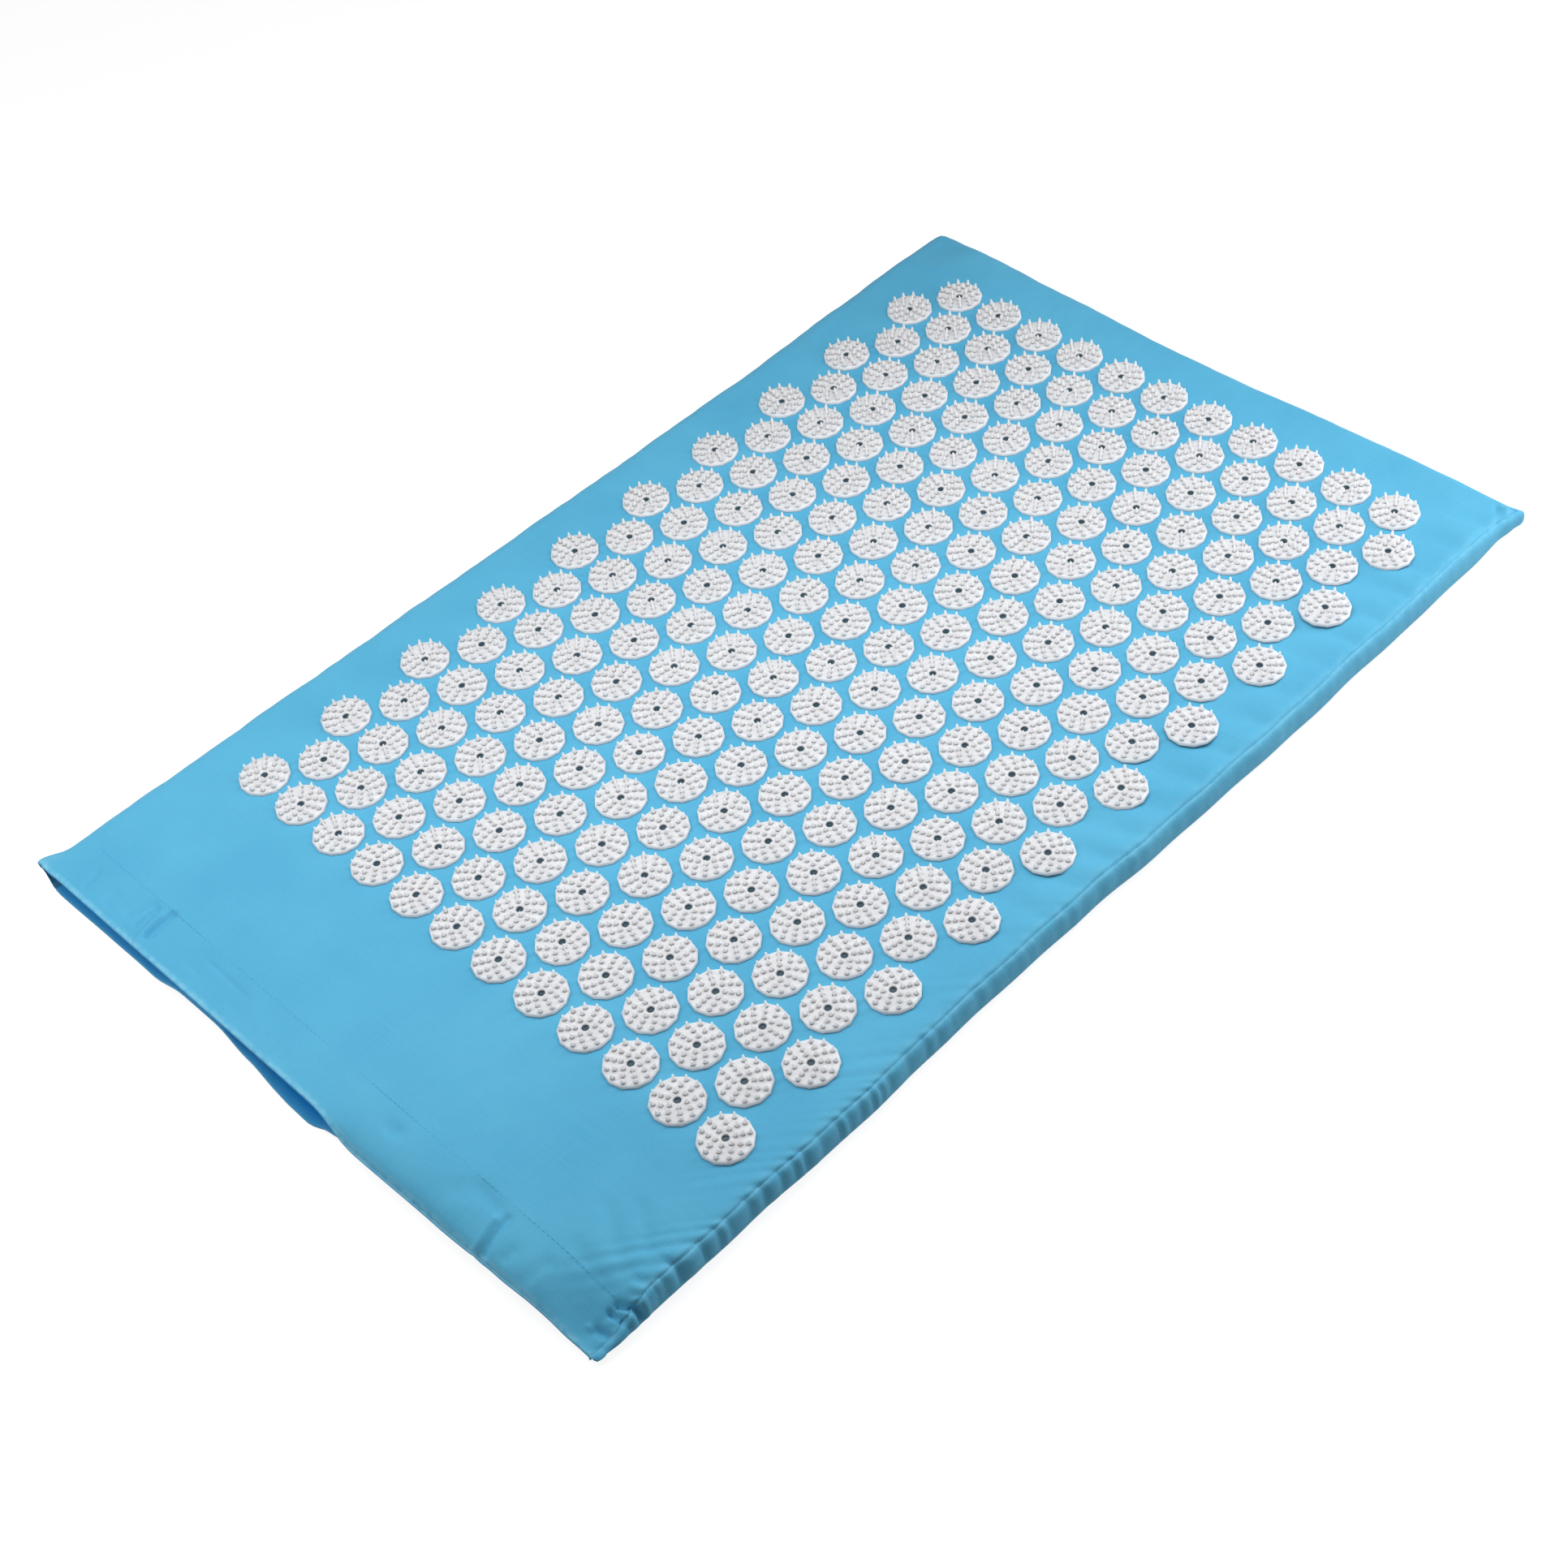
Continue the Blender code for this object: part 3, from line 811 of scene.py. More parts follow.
@dataclass(frozen=True)
class TapeFinish:
    """Blue fastener tape: a ribbed ground under hooks, or a matt pile of loops."""

    kind: Tape
    rib: float = 0.0008

    def material(self) -> bpy.types.Material:
        """Build it: rows of sine ribs for the hooks' ground, and tangled noise for the loops."""
        if self.kind is Tape.LOOP:
            made = Shader("loop_tape", Roughness=0.95, Sheen_Weight=0.4)
            fibre = made.noise(made.place(), 0.0012, 4.0)
            colour = made.mix(made.remap(fibre, 0.3, 0.7), (0.05, 0.26, 0.44), (0.13, 0.42, 0.64))
            return made.finish(colour, made.bump(fibre, 0.0005))
        made = Shader("hook_tape", Roughness=0.7)
        place = made.place()
        fibre = made.noise(place, 0.0006, 4.0)
        colour = made.mix(made.remap(fibre, 0.3, 0.7), (0.04, 0.20, 0.36), (0.08, 0.30, 0.50))
        across = made.node("SeparateXYZ", Vector=place).outputs[1]
        ribs = made.math("SINE", made.math("MULTIPLY", across, math.tau / self.rib))
        return made.finish(colour, made.bump(ribs, 0.0001, 0.7, made.bump(fibre, 0.0001)))


@dataclass(frozen=True)
class ThreadFinish:
    """Twisted sewing thread in the cotton's colours."""

    colour: Colour = (0.080, 0.405, 0.635)
    light: Colour = (0.092, 0.430, 0.660)
    twist: float = 0.0005

    def material(self) -> bpy.types.Material:
        """Build it: slanting sine stripes for the twist, with a little noise in the colour."""
        made = Shader("sewing_thread", Roughness=0.8, Specular_IOR_Level=0.2)
        place = made.place()
        slant = made.math("ADD", *made.node("SeparateXYZ", Vector=place).outputs[:2])
        stripes = made.math("SINE", made.math("MULTIPLY", slant, math.tau / self.twist))
        colour = made.mix(made.remap(made.noise(place, 0.002), 0.3, 0.7), self.colour, self.light)
        return made.finish(colour, made.bump(stripes, 0.00006, 0.7))


def dress(piece: Thing, material: bpy.types.Material, body: str) -> None:
    """Give a piece its finish and the body it moves with, and report it.

    Args:
        piece: the piece.
        material: its finish.
        body: "cover" or "core".
    """
    piece.data.materials.append(material)
    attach(piece, body)
    log.info("%s: %s, %d faces", body, piece.name, len(piece.data.polygons))


# Shares of the way from where the cloth leaves the flat to its seam, and from the seam to the underside.
EDGE_PARTS = np.array([0.1, 0.2, 0.3, 0.4, 0.5, 0.6, 0.7, 0.8, 0.88, 0.94, 1.0, 1.0])
BAND_PARTS = np.concatenate([[0.0, 0.005, 0.015, 0.03, 0.055], np.linspace(0.085, 1.0, 20)])
EDGE_TURN = math.pi / 2 - SEAM_ANGLE
BAND_ANGLES = SEAM_ANGLE - BAND_PARTS * (SEAM_ANGLE + math.pi / 2)


@dataclass
class Cover:
    """The cotton cover: upper and lower cloth, and the edge bands between them."""

    shape: CoverShape = field(default_factory=CoverShape)
    row_spacing: Knots = ((0.0325, 0.0015), (0.220, 0.0024), (0.680, 0.0024))
    column_spacing: Knots = ((0.0, 0.0045), (0.122, 0.0013), (0.146, 0.0024), (0.168, 0.0013), (0.2027, 0.0013))
    lower_rows: Knots = ((0.0, 0.0008), (0.008, 0.0015), (0.036, 0.004), (0.680, 0.004))
    lower_columns: Knots = ((-1.0, 0.008), (-0.9, 0.017), (0.9, 0.008), (1.0, 0.1))
    roll_rows: int = 50
    seam_dip: float = 0.0005
    seam_width: float = 0.0020
    seam_tuck: float = 0.0022
    seam_gap: float = 0.0004
    band_gap: float = 0.0006
    lower_tuck: float = 0.0004
    mitre_reach: float = 0.012
    mitre_dip: float = 0.0005
    hem_fold: float = 0.001
    hem_inside: float = 0.028
    band_hem: float = 0.0014
    # The painted shade on the hems' inner layers: where it starts from the right edge, and over how far it grows
    # full.
    shade_start: float = 0.012
    shade_reach: float = 0.006
    unevenness: float = 0.00022
    uneven_size: float = 0.055
    uneven_least: float = 0.15
    disc_start: float = -0.262
    disc_margins: tuple[float, float] = (0.03, 0.035)
    least_away: float = 0.0002
    least_lean: float = 0.05
    # Worn shares and reaches from the lip, where they also paint a highlight, and from the side seams; then the worn
    # shares on the upper and lower hems' folds, which paint that highlight too.
    lip_wear_and_highlight: tuple[float, float] = (0.8, 0.003)
    seam_wear: tuple[float, float] = (0.3, 0.006)
    hem_wear_and_highlight: tuple[float, float] = (0.9, 0.8)
    crease_foot: float = -35 * DEGREE
    crease_turn: float = 40 * DEGREE

    def seam_groove(self, turned: Array) -> Array:
        """How deep the cloth lies under its own line at an angle round the edge from a seam."""
        return self.seam_dip * fade(self.shape.edge_depth * turned, self.seam_width)

    def upper_groove(self, turned: Array) -> Array:
        """The upper cloth's seam groove, where the edge has turned by an angle, and 0 where it has not."""
        return np.where(turned > 0, self.seam_groove(EDGE_TURN - turned), 0.0)

    def rows(self) -> Array:
        """Shares of the way from the mouth to where the far end turns over, close together at the lip's roll."""
        roll = self.shape.roll_reach * (np.arange(self.roll_rows) / self.roll_rows) ** 2
        return np.concatenate([roll, spread_between(self.row_spacing)])[:, None] / (2 * self.shape.half_length)

    def upper_columns(self) -> tuple[Array, Array, Array]:
        """The upper cloth's columns from the right seam to the left one.

        Returns:
            Shares of the flat reach with their sign, shares of the turn over the edge, and signs of the sides.
        """
        places = spread_between(self.column_spacing) / self.column_spacing[-1][0]
        shares = np.concatenate([places, np.ones(len(EDGE_PARTS))])
        parts = np.concatenate([np.zeros(len(places)), EDGE_PARTS])
        return (
            np.concatenate([-shares[:0:-1], shares]),
            np.concatenate([parts[:0:-1], parts]),
            np.concatenate([-np.ones(len(shares) - 1), np.ones(len(shares))]),
        )

    def upper_surface(self) -> tuple[Array, Array]:
        """Points of the upper cloth's outer face, from the lip to the far seam.

        A row's share runs from the lip to where the far end turns over, and a column's from the middle to where
        a long side does. Past that the cloth follows the edge's section down to the seam. Where both turn over,
        the deeper drop holds, as the eighth root of the sum of their eighth powers. The puckers, the creases, the
        seam's groove and a slight unevenness, least between the discs, move points along the edge's outward
        direction. Wear fades from the lip and the side seams, by its share and how far it reaches; at the lip it
        also stands for a painted highlight.

        Returns:
            The points and how worn each is, where near the lip that also paints a highlight.
        """
        shape = self.shape
        shares, parts, signs = self.upper_columns()
        rows = self.rows()
        row = np.concatenate([rows, np.ones((len(EDGE_PARTS), 1))])
        far = np.concatenate([np.zeros(rows.shape), EDGE_PARTS[:, None]]) * EDGE_TURN
        guess = (shares * (shape.half_width - shape.edge_depth))[None, :]
        front = eased(shape.share(guess), shape.upper_front) + self.hem_fold
        flat_end = shape.end_reach(guess) - shape.edge_depth
        far_up, far_out = shape.bulge(far)
        x = front + row * (flat_end - front) + shape.edge_depth * far_out
        y, side_drop = np.zeros((2, *x.shape))
        turned = np.broadcast_to(parts * EDGE_TURN, x.shape)
        for side in Side:
            mine = signs == side.value
            own_x, over = x[:, mine], parts[mine] > 0
            section_y, section_z = shape.side_section(own_x, side, math.pi / 2 - turned[:, mine])
            reach = shape.flat_reach(own_x, side)
            y[:, mine] = np.where(over, section_y, shares[mine] * reach)
            side_drop[:, mine] = np.where(over, shape.top_height(own_x, side.value * reach) - section_z, 0.0)
        kept_y = np.clip(y, -shape.flat_reach(x, Side.RIGHT), shape.flat_reach(x, Side.LEFT))
        kept_x = np.minimum(x, flat_end)
        height = shape.top_height(kept_x, kept_y)
        half = (height - shape.bottom_height(kept_x, kept_y)) / 2
        z = height - (side_drop**8 + (half * (1 - far_up)) ** 8) ** (1 / 8)

        from_left, from_right = (
            np.maximum(shape.side_reach(x, side) - shape.edge_inset(SEAM_ANGLE) - side.value * y, 0) + self.least_away
            for side in Side
        )
        from_end = np.maximum(shape.end_reach(kept_y) - shape.edge_inset(SEAM_ANGLE) - x, 0) + self.least_away
        from_side = np.minimum(from_left, from_right)
        out = RIGHT_GATHERING.on_panel(x, from_right) + LEFT_GATHERING.on_panel(x, from_left)
        out = out + RIGHT_DRAWS.on_panel(x, from_right) + END_GATHERING.on_panel(kept_y, from_end)
        near_lip, near_side = self.disc_margins
        free = fade(np.maximum(x - self.disc_start, 0), near_lip) + fade(from_side, near_side)
        free = np.clip(free, self.uneven_least, 1)
        out = out + self.unevenness * free * soft_noise(x, y, self.uneven_size, 3)
        out = out - sunk(CORNER_CREASES + LIP_CREASES + FAR_CREASES, x, y)
        out = out - np.maximum(self.upper_groove(turned), self.upper_groove(far))
        lean_x, lean_y = np.sin(far), signs * np.sin(turned)
        lean_z = np.sqrt(np.maximum(1 - lean_y**2 - lean_x**2, self.least_lean))
        points = np.stack([x + out * lean_x, y + out * lean_y, z + out * lean_z], axis=-1)
        worn = ((x - front, *self.lip_wear_and_highlight), (from_side, *self.seam_wear))
        return points, np.clip(sum(share * fade(away, reach) for away, share, reach in worn), 0, 1)

    def hem_rows(self, outer: Array) -> int:
        """How many of a cloth's rows lie within the hem's depth."""
        return int(np.searchsorted(outer[:, outer.shape[1] // 2, 0], self.hem_inside - self.shape.half_length))

    def hemmed(self, name: str, outer: Array, up: int, wear_and_lip_highlight: tuple[Array, float],
               inside: Callable[[Array], Array]) -> Thing:
        """A cloth that turns back on itself at the mouth, round half a circle as thick as the hem.

        Args:
            name: the piece's name.
            outer: the points of its outer face, from the mouth on.
            up: 1 where its inner layer lies above, and -1 where it lies below.
            wear_and_lip_highlight: how worn the outer face is, and the lip; near the lip this also paints a
                highlight.
            inside: gives how much painted shade the inner layer's points take, by how deep in the cover they are.

        Returns:
            The piece.
        """
        thick = self.shape.hem_thickness
        inner = outer[1: self.hem_rows(outer)][::-1] + [0, 0, up * thick]
        turn = np.linspace(math.pi, 0, 7)[:-1, None]
        fold = outer[:1] + np.stack(
            [-self.hem_fold * np.sin(turn), 0 * turn, up * thick / 2 * (1 - np.cos(turn))], axis=-1)
        outward = 1 - np.linspace(1, 0, len(fold))[:, None] * np.ones(fold.shape[1])
        piece = grid_object(name, self.shape.blunted(np.concatenate([inner, fold, outer])), flip=up > 0)
        # The fold at the lip is worn, and this also paints a highlight.
        set_shares(piece, "wear_and_lip_highlight", np.concatenate([0 * inner[..., 0], wear_and_lip_highlight[1] * outward, wear_and_lip_highlight[0]]))
        # Painted shade on the inner layer, and on the fold growing towards it; none on the outer face.
        depths = (inside(inner), (1 - outward) * inside(outer[:1]), 0 * outer[..., 0])
        set_shares(piece, "inside", np.concatenate(depths))
        return piece

    def build_upper(self, material: bpy.types.Material) -> Thing:
        """The upper cloth, from its folded hem at the mouth over the foam to its three seams.

        Past each seam the cloth tucks in, towards the middle of the mat.

        Args:
            material: its finish.

        Returns:
            The piece.
        """
        outer, wear_and_lip_highlight = self.upper_surface()
        outer[:, [0, -1], 2] -= self.seam_tuck
        outer[:, 0, 1] += self.seam_gap
        outer[:, -1, 1] -= self.seam_gap
        outer[-1, :, 2] -= self.seam_tuck
        outer[-1, :, 0] -= self.seam_gap
        # The inner layer takes painted shade, but within about twelve millimetres of the right edge.
        edge = self.shade_start - self.shape.half_width
        piece = self.hemmed("upper_cloth", outer, -1, (wear_and_lip_highlight, self.hem_wear_and_highlight[0]),
                            lambda points: smooth((points[..., 1] - edge) / self.shade_reach))
        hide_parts("upper_panel", "mouth_upper_hem")
        dress(piece, material, "cover")
        return piece

    def build_lower(self, material: bpy.types.Material) -> Thing:
        """The lower cloth, flat on the floor between the seams, with its folded hem at the mouth.

        Args:
            material: its finish.

        Returns:
            The piece.
        """
        shape = self.shape
        rows = spread_between(self.lower_rows)[:, None] / (2 * shape.half_length)
        shares = spread_between(self.lower_columns)[None, :]
        guess = shares * (shape.half_width - shape.edge_depth)
        front = eased(shape.share(guess), shape.lower_front) + self.hem_fold
        x = front + rows * (shape.end_reach(guess) - shape.edge_depth - front)
        down = np.full(x.shape, -math.pi / 2)
        right, left = (shape.side_section(x, side, down)[0] for side in (Side.RIGHT, Side.LEFT))
        y = right + (left - right) * (shares + 1) / 2
        edge = np.minimum(np.minimum(left - y, y - right), shape.end_reach(y) - shape.edge_depth - x)
        z = shape.bottom_height(x, y) + self.lower_tuck * fade(edge, 0.003)
        # The inner layer takes half the painted shade at the fold and all of it a few millimetres in.
        piece = self.hemmed("lower_cloth", np.stack([x, y, z], axis=-1), 1, (0 * x, self.hem_wear_and_highlight[1]),
                            lambda points: 0.5 + 0.5 * smooth((points[..., 0] - x[:1]) / self.shade_reach))
        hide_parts("lower_panel", "mouth_lower_hem")
        dress(piece, material, "cover")
        return piece

    def band_points(self, points: Array, out: Array, near: Array, outward: Array) -> Array:
        """A band's points moved out by its puckers and in by its seam's groove, and tucked in past the seam.

        Args:
            points: places on the edge's section.
            out: how far the puckers stand out.
            near: how near each is to a mitred corner, where a shallow dip takes the puckers' place.
            outward: the level outward direction, as x and y.

        Returns:
            The moved points, with the tucked column first.
        """
        out = out * (1 - near) - self.mitre_dip * near - self.seam_groove(SEAM_ANGLE - BAND_ANGLES)
        moved = points.copy()
        moved[..., :2] += outward * (np.cos(BAND_ANGLES) * out)[..., None]
        moved[..., 2] = np.maximum(points[..., 2] + np.sin(BAND_ANGLES) * out, 0.0)
        tuck = moved[:, :1] - [*(outward * self.band_gap), self.seam_tuck]
        return np.concatenate([tuck, moved], axis=1)

    def dress_band(self, name: str, points: Array, node: str, material: bpy.types.Material,
                   flip: bool = False) -> Thing:
        """Make a band from its points and dress it. It is a little worn beside its seam.

        Args:
            name: the band's name.
            points: its points.
            node: the solid that it replaces.
            material: its finish.
            flip: turn the surface over.

        Returns:
            The band.
        """
        piece = grid_object(name, self.shape.blunted(points), flip)
        wear_and_lip_highlight = np.concatenate([[0.5], 0.35 * fade(BAND_PARTS, 0.2) + 0.12])
        set_shares(piece, "wear_and_lip_highlight", np.broadcast_to(wear_and_lip_highlight, points.shape[:2]))
        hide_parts(node)
        dress(piece, material, "cover")
        return piece

    def build_side_band(self, side: Side, material: bpy.types.Material) -> Thing:
        """The puckered band round a long side, from the upper seam to the underside.

        Rows run along the side from the mouth to the mitred far corner, and columns round the edge's section. The
        puckers and creases move points along the section's outward direction, which is (cosine, sine) of its
        angle. At the mouth the band turns in on itself as a hem.

        Args:
            side: which side.
            material: its finish.

        Returns:
            The piece.
        """
        shape = self.shape
        corner_x = shape.end_reach(np.array(side.value * shape.half_width)) - shape.edge_inset(BAND_ANGLES)
        mouth_share = shape.share(shape.side_section(np.array(-shape.half_length), side, BAND_ANGLES)[0])
        high, low = (eased(mouth_share, table) for table in (shape.upper_front, shape.lower_front))
        front = high + (low - high) * BAND_PARTS
        x = front + self.rows() * (corner_x - front)
        y, z = shape.side_section(x, side, BAND_ANGLES)
        near = fade(corner_x - x, self.mitre_reach)
        gathering = RIGHT_GATHERING if side is Side.RIGHT else LEFT_GATHERING
        creased = smooth((BAND_ANGLES - self.crease_foot) / self.crease_turn) * sunk(CORNER_CREASES, x, y)
        out = gathering.on_band(x, BAND_PARTS) - creased
        points = self.band_points(np.stack([x, y, z], axis=-1), out, near, np.array([0.0, side.value]))
        inner = points[1: self.hem_rows(points)].copy()
        away = inner.mean(axis=1, keepdims=True)[..., 1:] - inner[..., 1:]
        length = np.maximum(np.linalg.norm(away, axis=-1, keepdims=True), 2 * self.band_hem)
        inner[..., 1:] += away * np.minimum(self.band_hem / length, 1)
        name = side.name.lower()
        return self.dress_band(f"{name}_band", np.concatenate([inner[::-1], points]), f"{name}_side_wall",
                               material, flip=side is Side.LEFT)

    def build_far_band(self, material: bpy.types.Material) -> Thing:
        """The band round the far end, mitred to the side bands, made as they are.

        Args:
            material: its finish.

        Returns:
            The piece.
        """
        shape = self.shape
        reach = [shape.side_reach(np.array(shape.half_length), side) for side in (Side.RIGHT, Side.LEFT)]
        low, high = (shape.edge_inset(BAND_ANGLES) - reach[0], reach[1] - shape.edge_inset(BAND_ANGLES))
        shares = np.linspace(0, 1, round(2 * shape.half_width / self.row_spacing[0][1]))[:, None]
        y = low + shares * (high - low)
        x, z = shape.end_section(y, BAND_ANGLES)
        near = fade(np.minimum(y - low, high - y), self.mitre_reach)
        out = END_GATHERING.on_band(y, BAND_PARTS)
        points = self.band_points(np.stack([x, y, z], axis=-1), out, near, np.array([1.0, 0.0]))
        return self.dress_band("far_band", points, "far_end_wall", material)

    def build(self) -> None:
        """Build and dress the whole cover."""
        material = CottonFinish().material()
        self.build_upper(material)
        self.build_lower(material)
        self.build_side_band(Side.LEFT, material)
        self.build_side_band(Side.RIGHT, material)
        self.build_far_band(material)


@dataclass
class Core:
    """The foam slab, with its long edges and far edge pressed round by the cover."""

    shape: CoverShape = field(default_factory=CoverShape)
    near: float = -0.3089
    far: float = 0.3370
    half_width: float = 0.2080
    right_narrow: float = 0.0035
    clear: float = 0.0026
    corner_press: float = 0.004
    press_reach: float = 0.06
    edge: float = 0.0090
    roughened: float = 0.0001

    def build(self) -> None:
        """Build and dress the slab.

        Its skin is the outline of a rectangle carried round the edge's section: from the middle of the underside
        out, over a half round of the edge's radius on three sides, and back over the top. Its heights keep clear
        of the cover's two cloths. The near end is cut square. Noise a few millimetres wide roughens it by a tenth
        of a millimetre.
        """
        turns = np.linspace(-math.pi / 2, math.pi / 2, 13)
        cuts = np.array([0.9, 0.6, 0.35, 0.2, 0.12, 0.06, 0.02])
        cut = np.concatenate([cuts, 0 * turns, cuts[::-1]])[:, None]
        angle = np.concatenate([np.full(len(cuts), turns[0]), turns, np.full(len(cuts), turns[-1])])[:, None]
        inset = self.edge * (1 - np.cos(angle))
        side, across = np.linspace(0, 1, 90), np.linspace(0, 1, 60)[1:-1]
        along = np.concatenate([side, 0 * across + 1, side[::-1], 0 * across])
        beside = np.concatenate([0 * side, across, 0 * side + 1, 1 - across])
        trimmed = (self.far - self.near) / 2 * cut
        near_x, far_x = self.near + trimmed, self.far - inset - trimmed
        left_y = (self.half_width - inset) * (1 - cut)
        right_y = self.right_narrow * (1 - cut) - left_y
        x, y = near_x + along * (far_x - near_x), right_y + beside * (left_y - right_y)
        pressed = self.corner_press * fade(np.hypot(x - self.near, y + self.half_width), self.press_reach)
        high = self.shape.top_height(x, y) - self.clear - pressed
        low = self.shape.bottom_height(x, y) + self.clear
        z = (high + low) / 2 + (high - low) / 2 * np.sin(angle)
        z = z + self.roughened * soft_noise(x, y, 0.012, 7) * np.sin(angle)
        points = np.stack([x, y, z], axis=-1)
        rings, around = x.shape
        middle = points[[0, -1]].mean(axis=1)
        faces = [
            grid_faces(rings, around, flip=True, closed=True),
            fan(0, around, x.size, flip=True),
            fan(x.size - around, around, x.size + 1),
        ]
        piece = mesh_object("foam_slab", np.concatenate([points.reshape(-1, 3), middle]), faces)
        piece.data.set_sharp_from_angle(angle=60 * DEGREE)
        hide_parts("foam_core")
        dress(piece, FoamFinish().material(), "core")


@dataclass(frozen=True)
class Patch:
    """One half of a fastener pair, where its solid is."""

    kind: Tape
    number: int

    @property
    def node(self) -> str:
        """The solid that it stands for."""
        return f"{self.kind.value}_patch_{self.number}"

    @property
    def up(self) -> int:
        """1 where its working face is the upper one, and -1 where it is the lower one."""
        return 1 if self.kind is Tape.LOOP else -1

    def sides(self) -> tuple[Array, Array]:
        """The middle of its box, and half the box's size."""
        low, high = (np.array(corner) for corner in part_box(self.node))
        return (low + high) / 2, (high - low) / 2


PATCHES = tuple(Patch(kind, number) for number in (1, 2, 3) for kind in Tape)


@dataclass
class Closing:
    """The three pairs of fastener patches that close the mouth."""

    corner: float = 0.0012
    face_level: float = 0.35
    hook_pitch: float = 0.0019
    hook_reach: float = 0.0005
    hook_height: float = 0.84
    hook_bend: float = 2.4
    hook_radius: float = 0.00013
    hook_margins: tuple[float, float] = (0.0025, 0.0022)

    def plate(self, patch: Patch) -> tuple[Array, list[Array]]:
        """A thin patch with rounded corners and a slightly raised border.

        Its outline is a rectangle with quarter-round corners, carried in six rings: out from the middle of the
        back, over the rim, and in over the face.

        Args:
            patch: which patch.

        Returns:
            The points and faces.
        """
        middle, half = patch.sides()
        quarter = np.linspace(0, math.pi / 2, 6)
        turn = (np.arange(4)[:, None] * math.pi / 2 + quarter).ravel()
        signs = np.repeat([[1, 1], [-1, 1], [-1, -1], [1, -1]], len(quarter), axis=0)
        face = self.face_level
        rings = []
        for shrink, level in ((0.004, -1), (0, -0.8), (0, face), (0.0006, 0.6), (0.0012, face), (0.004, face)):
            ring = self.corner * circle(turn)
            ring[:, :2] += signs * (half[:2] - shrink - self.corner)
            ring[:, 2] = patch.up * level * half[2]
            rings.append(ring)
        caps = np.array([[0, 0, -1], [0, 0, face]]) * patch.up * half[2]
        around = len(turn)
        last, count = (len(rings) - 1) * around, len(rings) * around
        quads = grid_faces(len(rings), around, flip=patch.up > 0, closed=True)
        ends = [fan(0, around, count, flip=patch.up > 0), fan(last, around, count + 1, flip=patch.up < 0)]
        return np.concatenate([*rings, caps]) + middle, [quads, np.concatenate(ends)]

    def hooks(self, patch: Patch) -> tuple[Array, Array]:
        """Small bent hooks over a patch's face.

        A hook is a three-sided stem carried up a quarter of a circle and over, and repeated at the pitch, every
        second row moved by half of it.

        Args:
            patch: which patch.

        Returns:
            The points and four-cornered faces.
        """
        middle, half = patch.sides()
        bend = np.linspace(0, 1, 4)[:, None] * self.hook_bend
        rise = half[2] * self.hook_height * np.sin(bend) ** 0.8
        path = np.stack([self.hook_reach * (1 - np.cos(bend)), 0 * bend, rise], axis=-1)
        around = np.arange(3) * math.tau / 3
        one = (path + circle(around) * self.hook_radius).reshape(-1, 3)
        start, stop = self.hook_margins
        xs, ys = (np.arange(middle[axis] - half[axis] + start, middle[axis] + half[axis] - stop, self.hook_pitch)
                  for axis in (0, 1))
        grid_x, grid_y = np.meshgrid(xs, ys, indexing="ij")
        grid_y = grid_y + (np.arange(len(xs))[:, None] % 2) * self.hook_pitch / 2
        face = middle[2] + patch.up * self.face_level * half[2]
        spots = np.stack([grid_x, grid_y, np.full(grid_x.shape, face)], axis=-1).reshape(-1, 1, 3)
        points = (spots + one * [1, patch.up, patch.up]).reshape(-1, 3)
        return points, repeated(grid_faces(len(path), 3, closed=True), len(spots), len(one))

    def build(self) -> None:
        """Build and dress the six patches where their solids are."""
        materials = {kind: TapeFinish(kind).material() for kind in Tape}
        for patch in PATCHES:
            points, (quads, ends) = self.plate(patch)
            if patch.kind is Tape.HOOK:
                more, hooks = self.hooks(patch)
                quads = np.concatenate([quads, hooks + len(points)])
                points = np.concatenate([points, more])
            piece = mesh_object(f"{patch.kind.value}_tape_{patch.number}", points, [quads, ends])
            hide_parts(patch.node)
            dress(piece, materials[patch.kind], "cover")


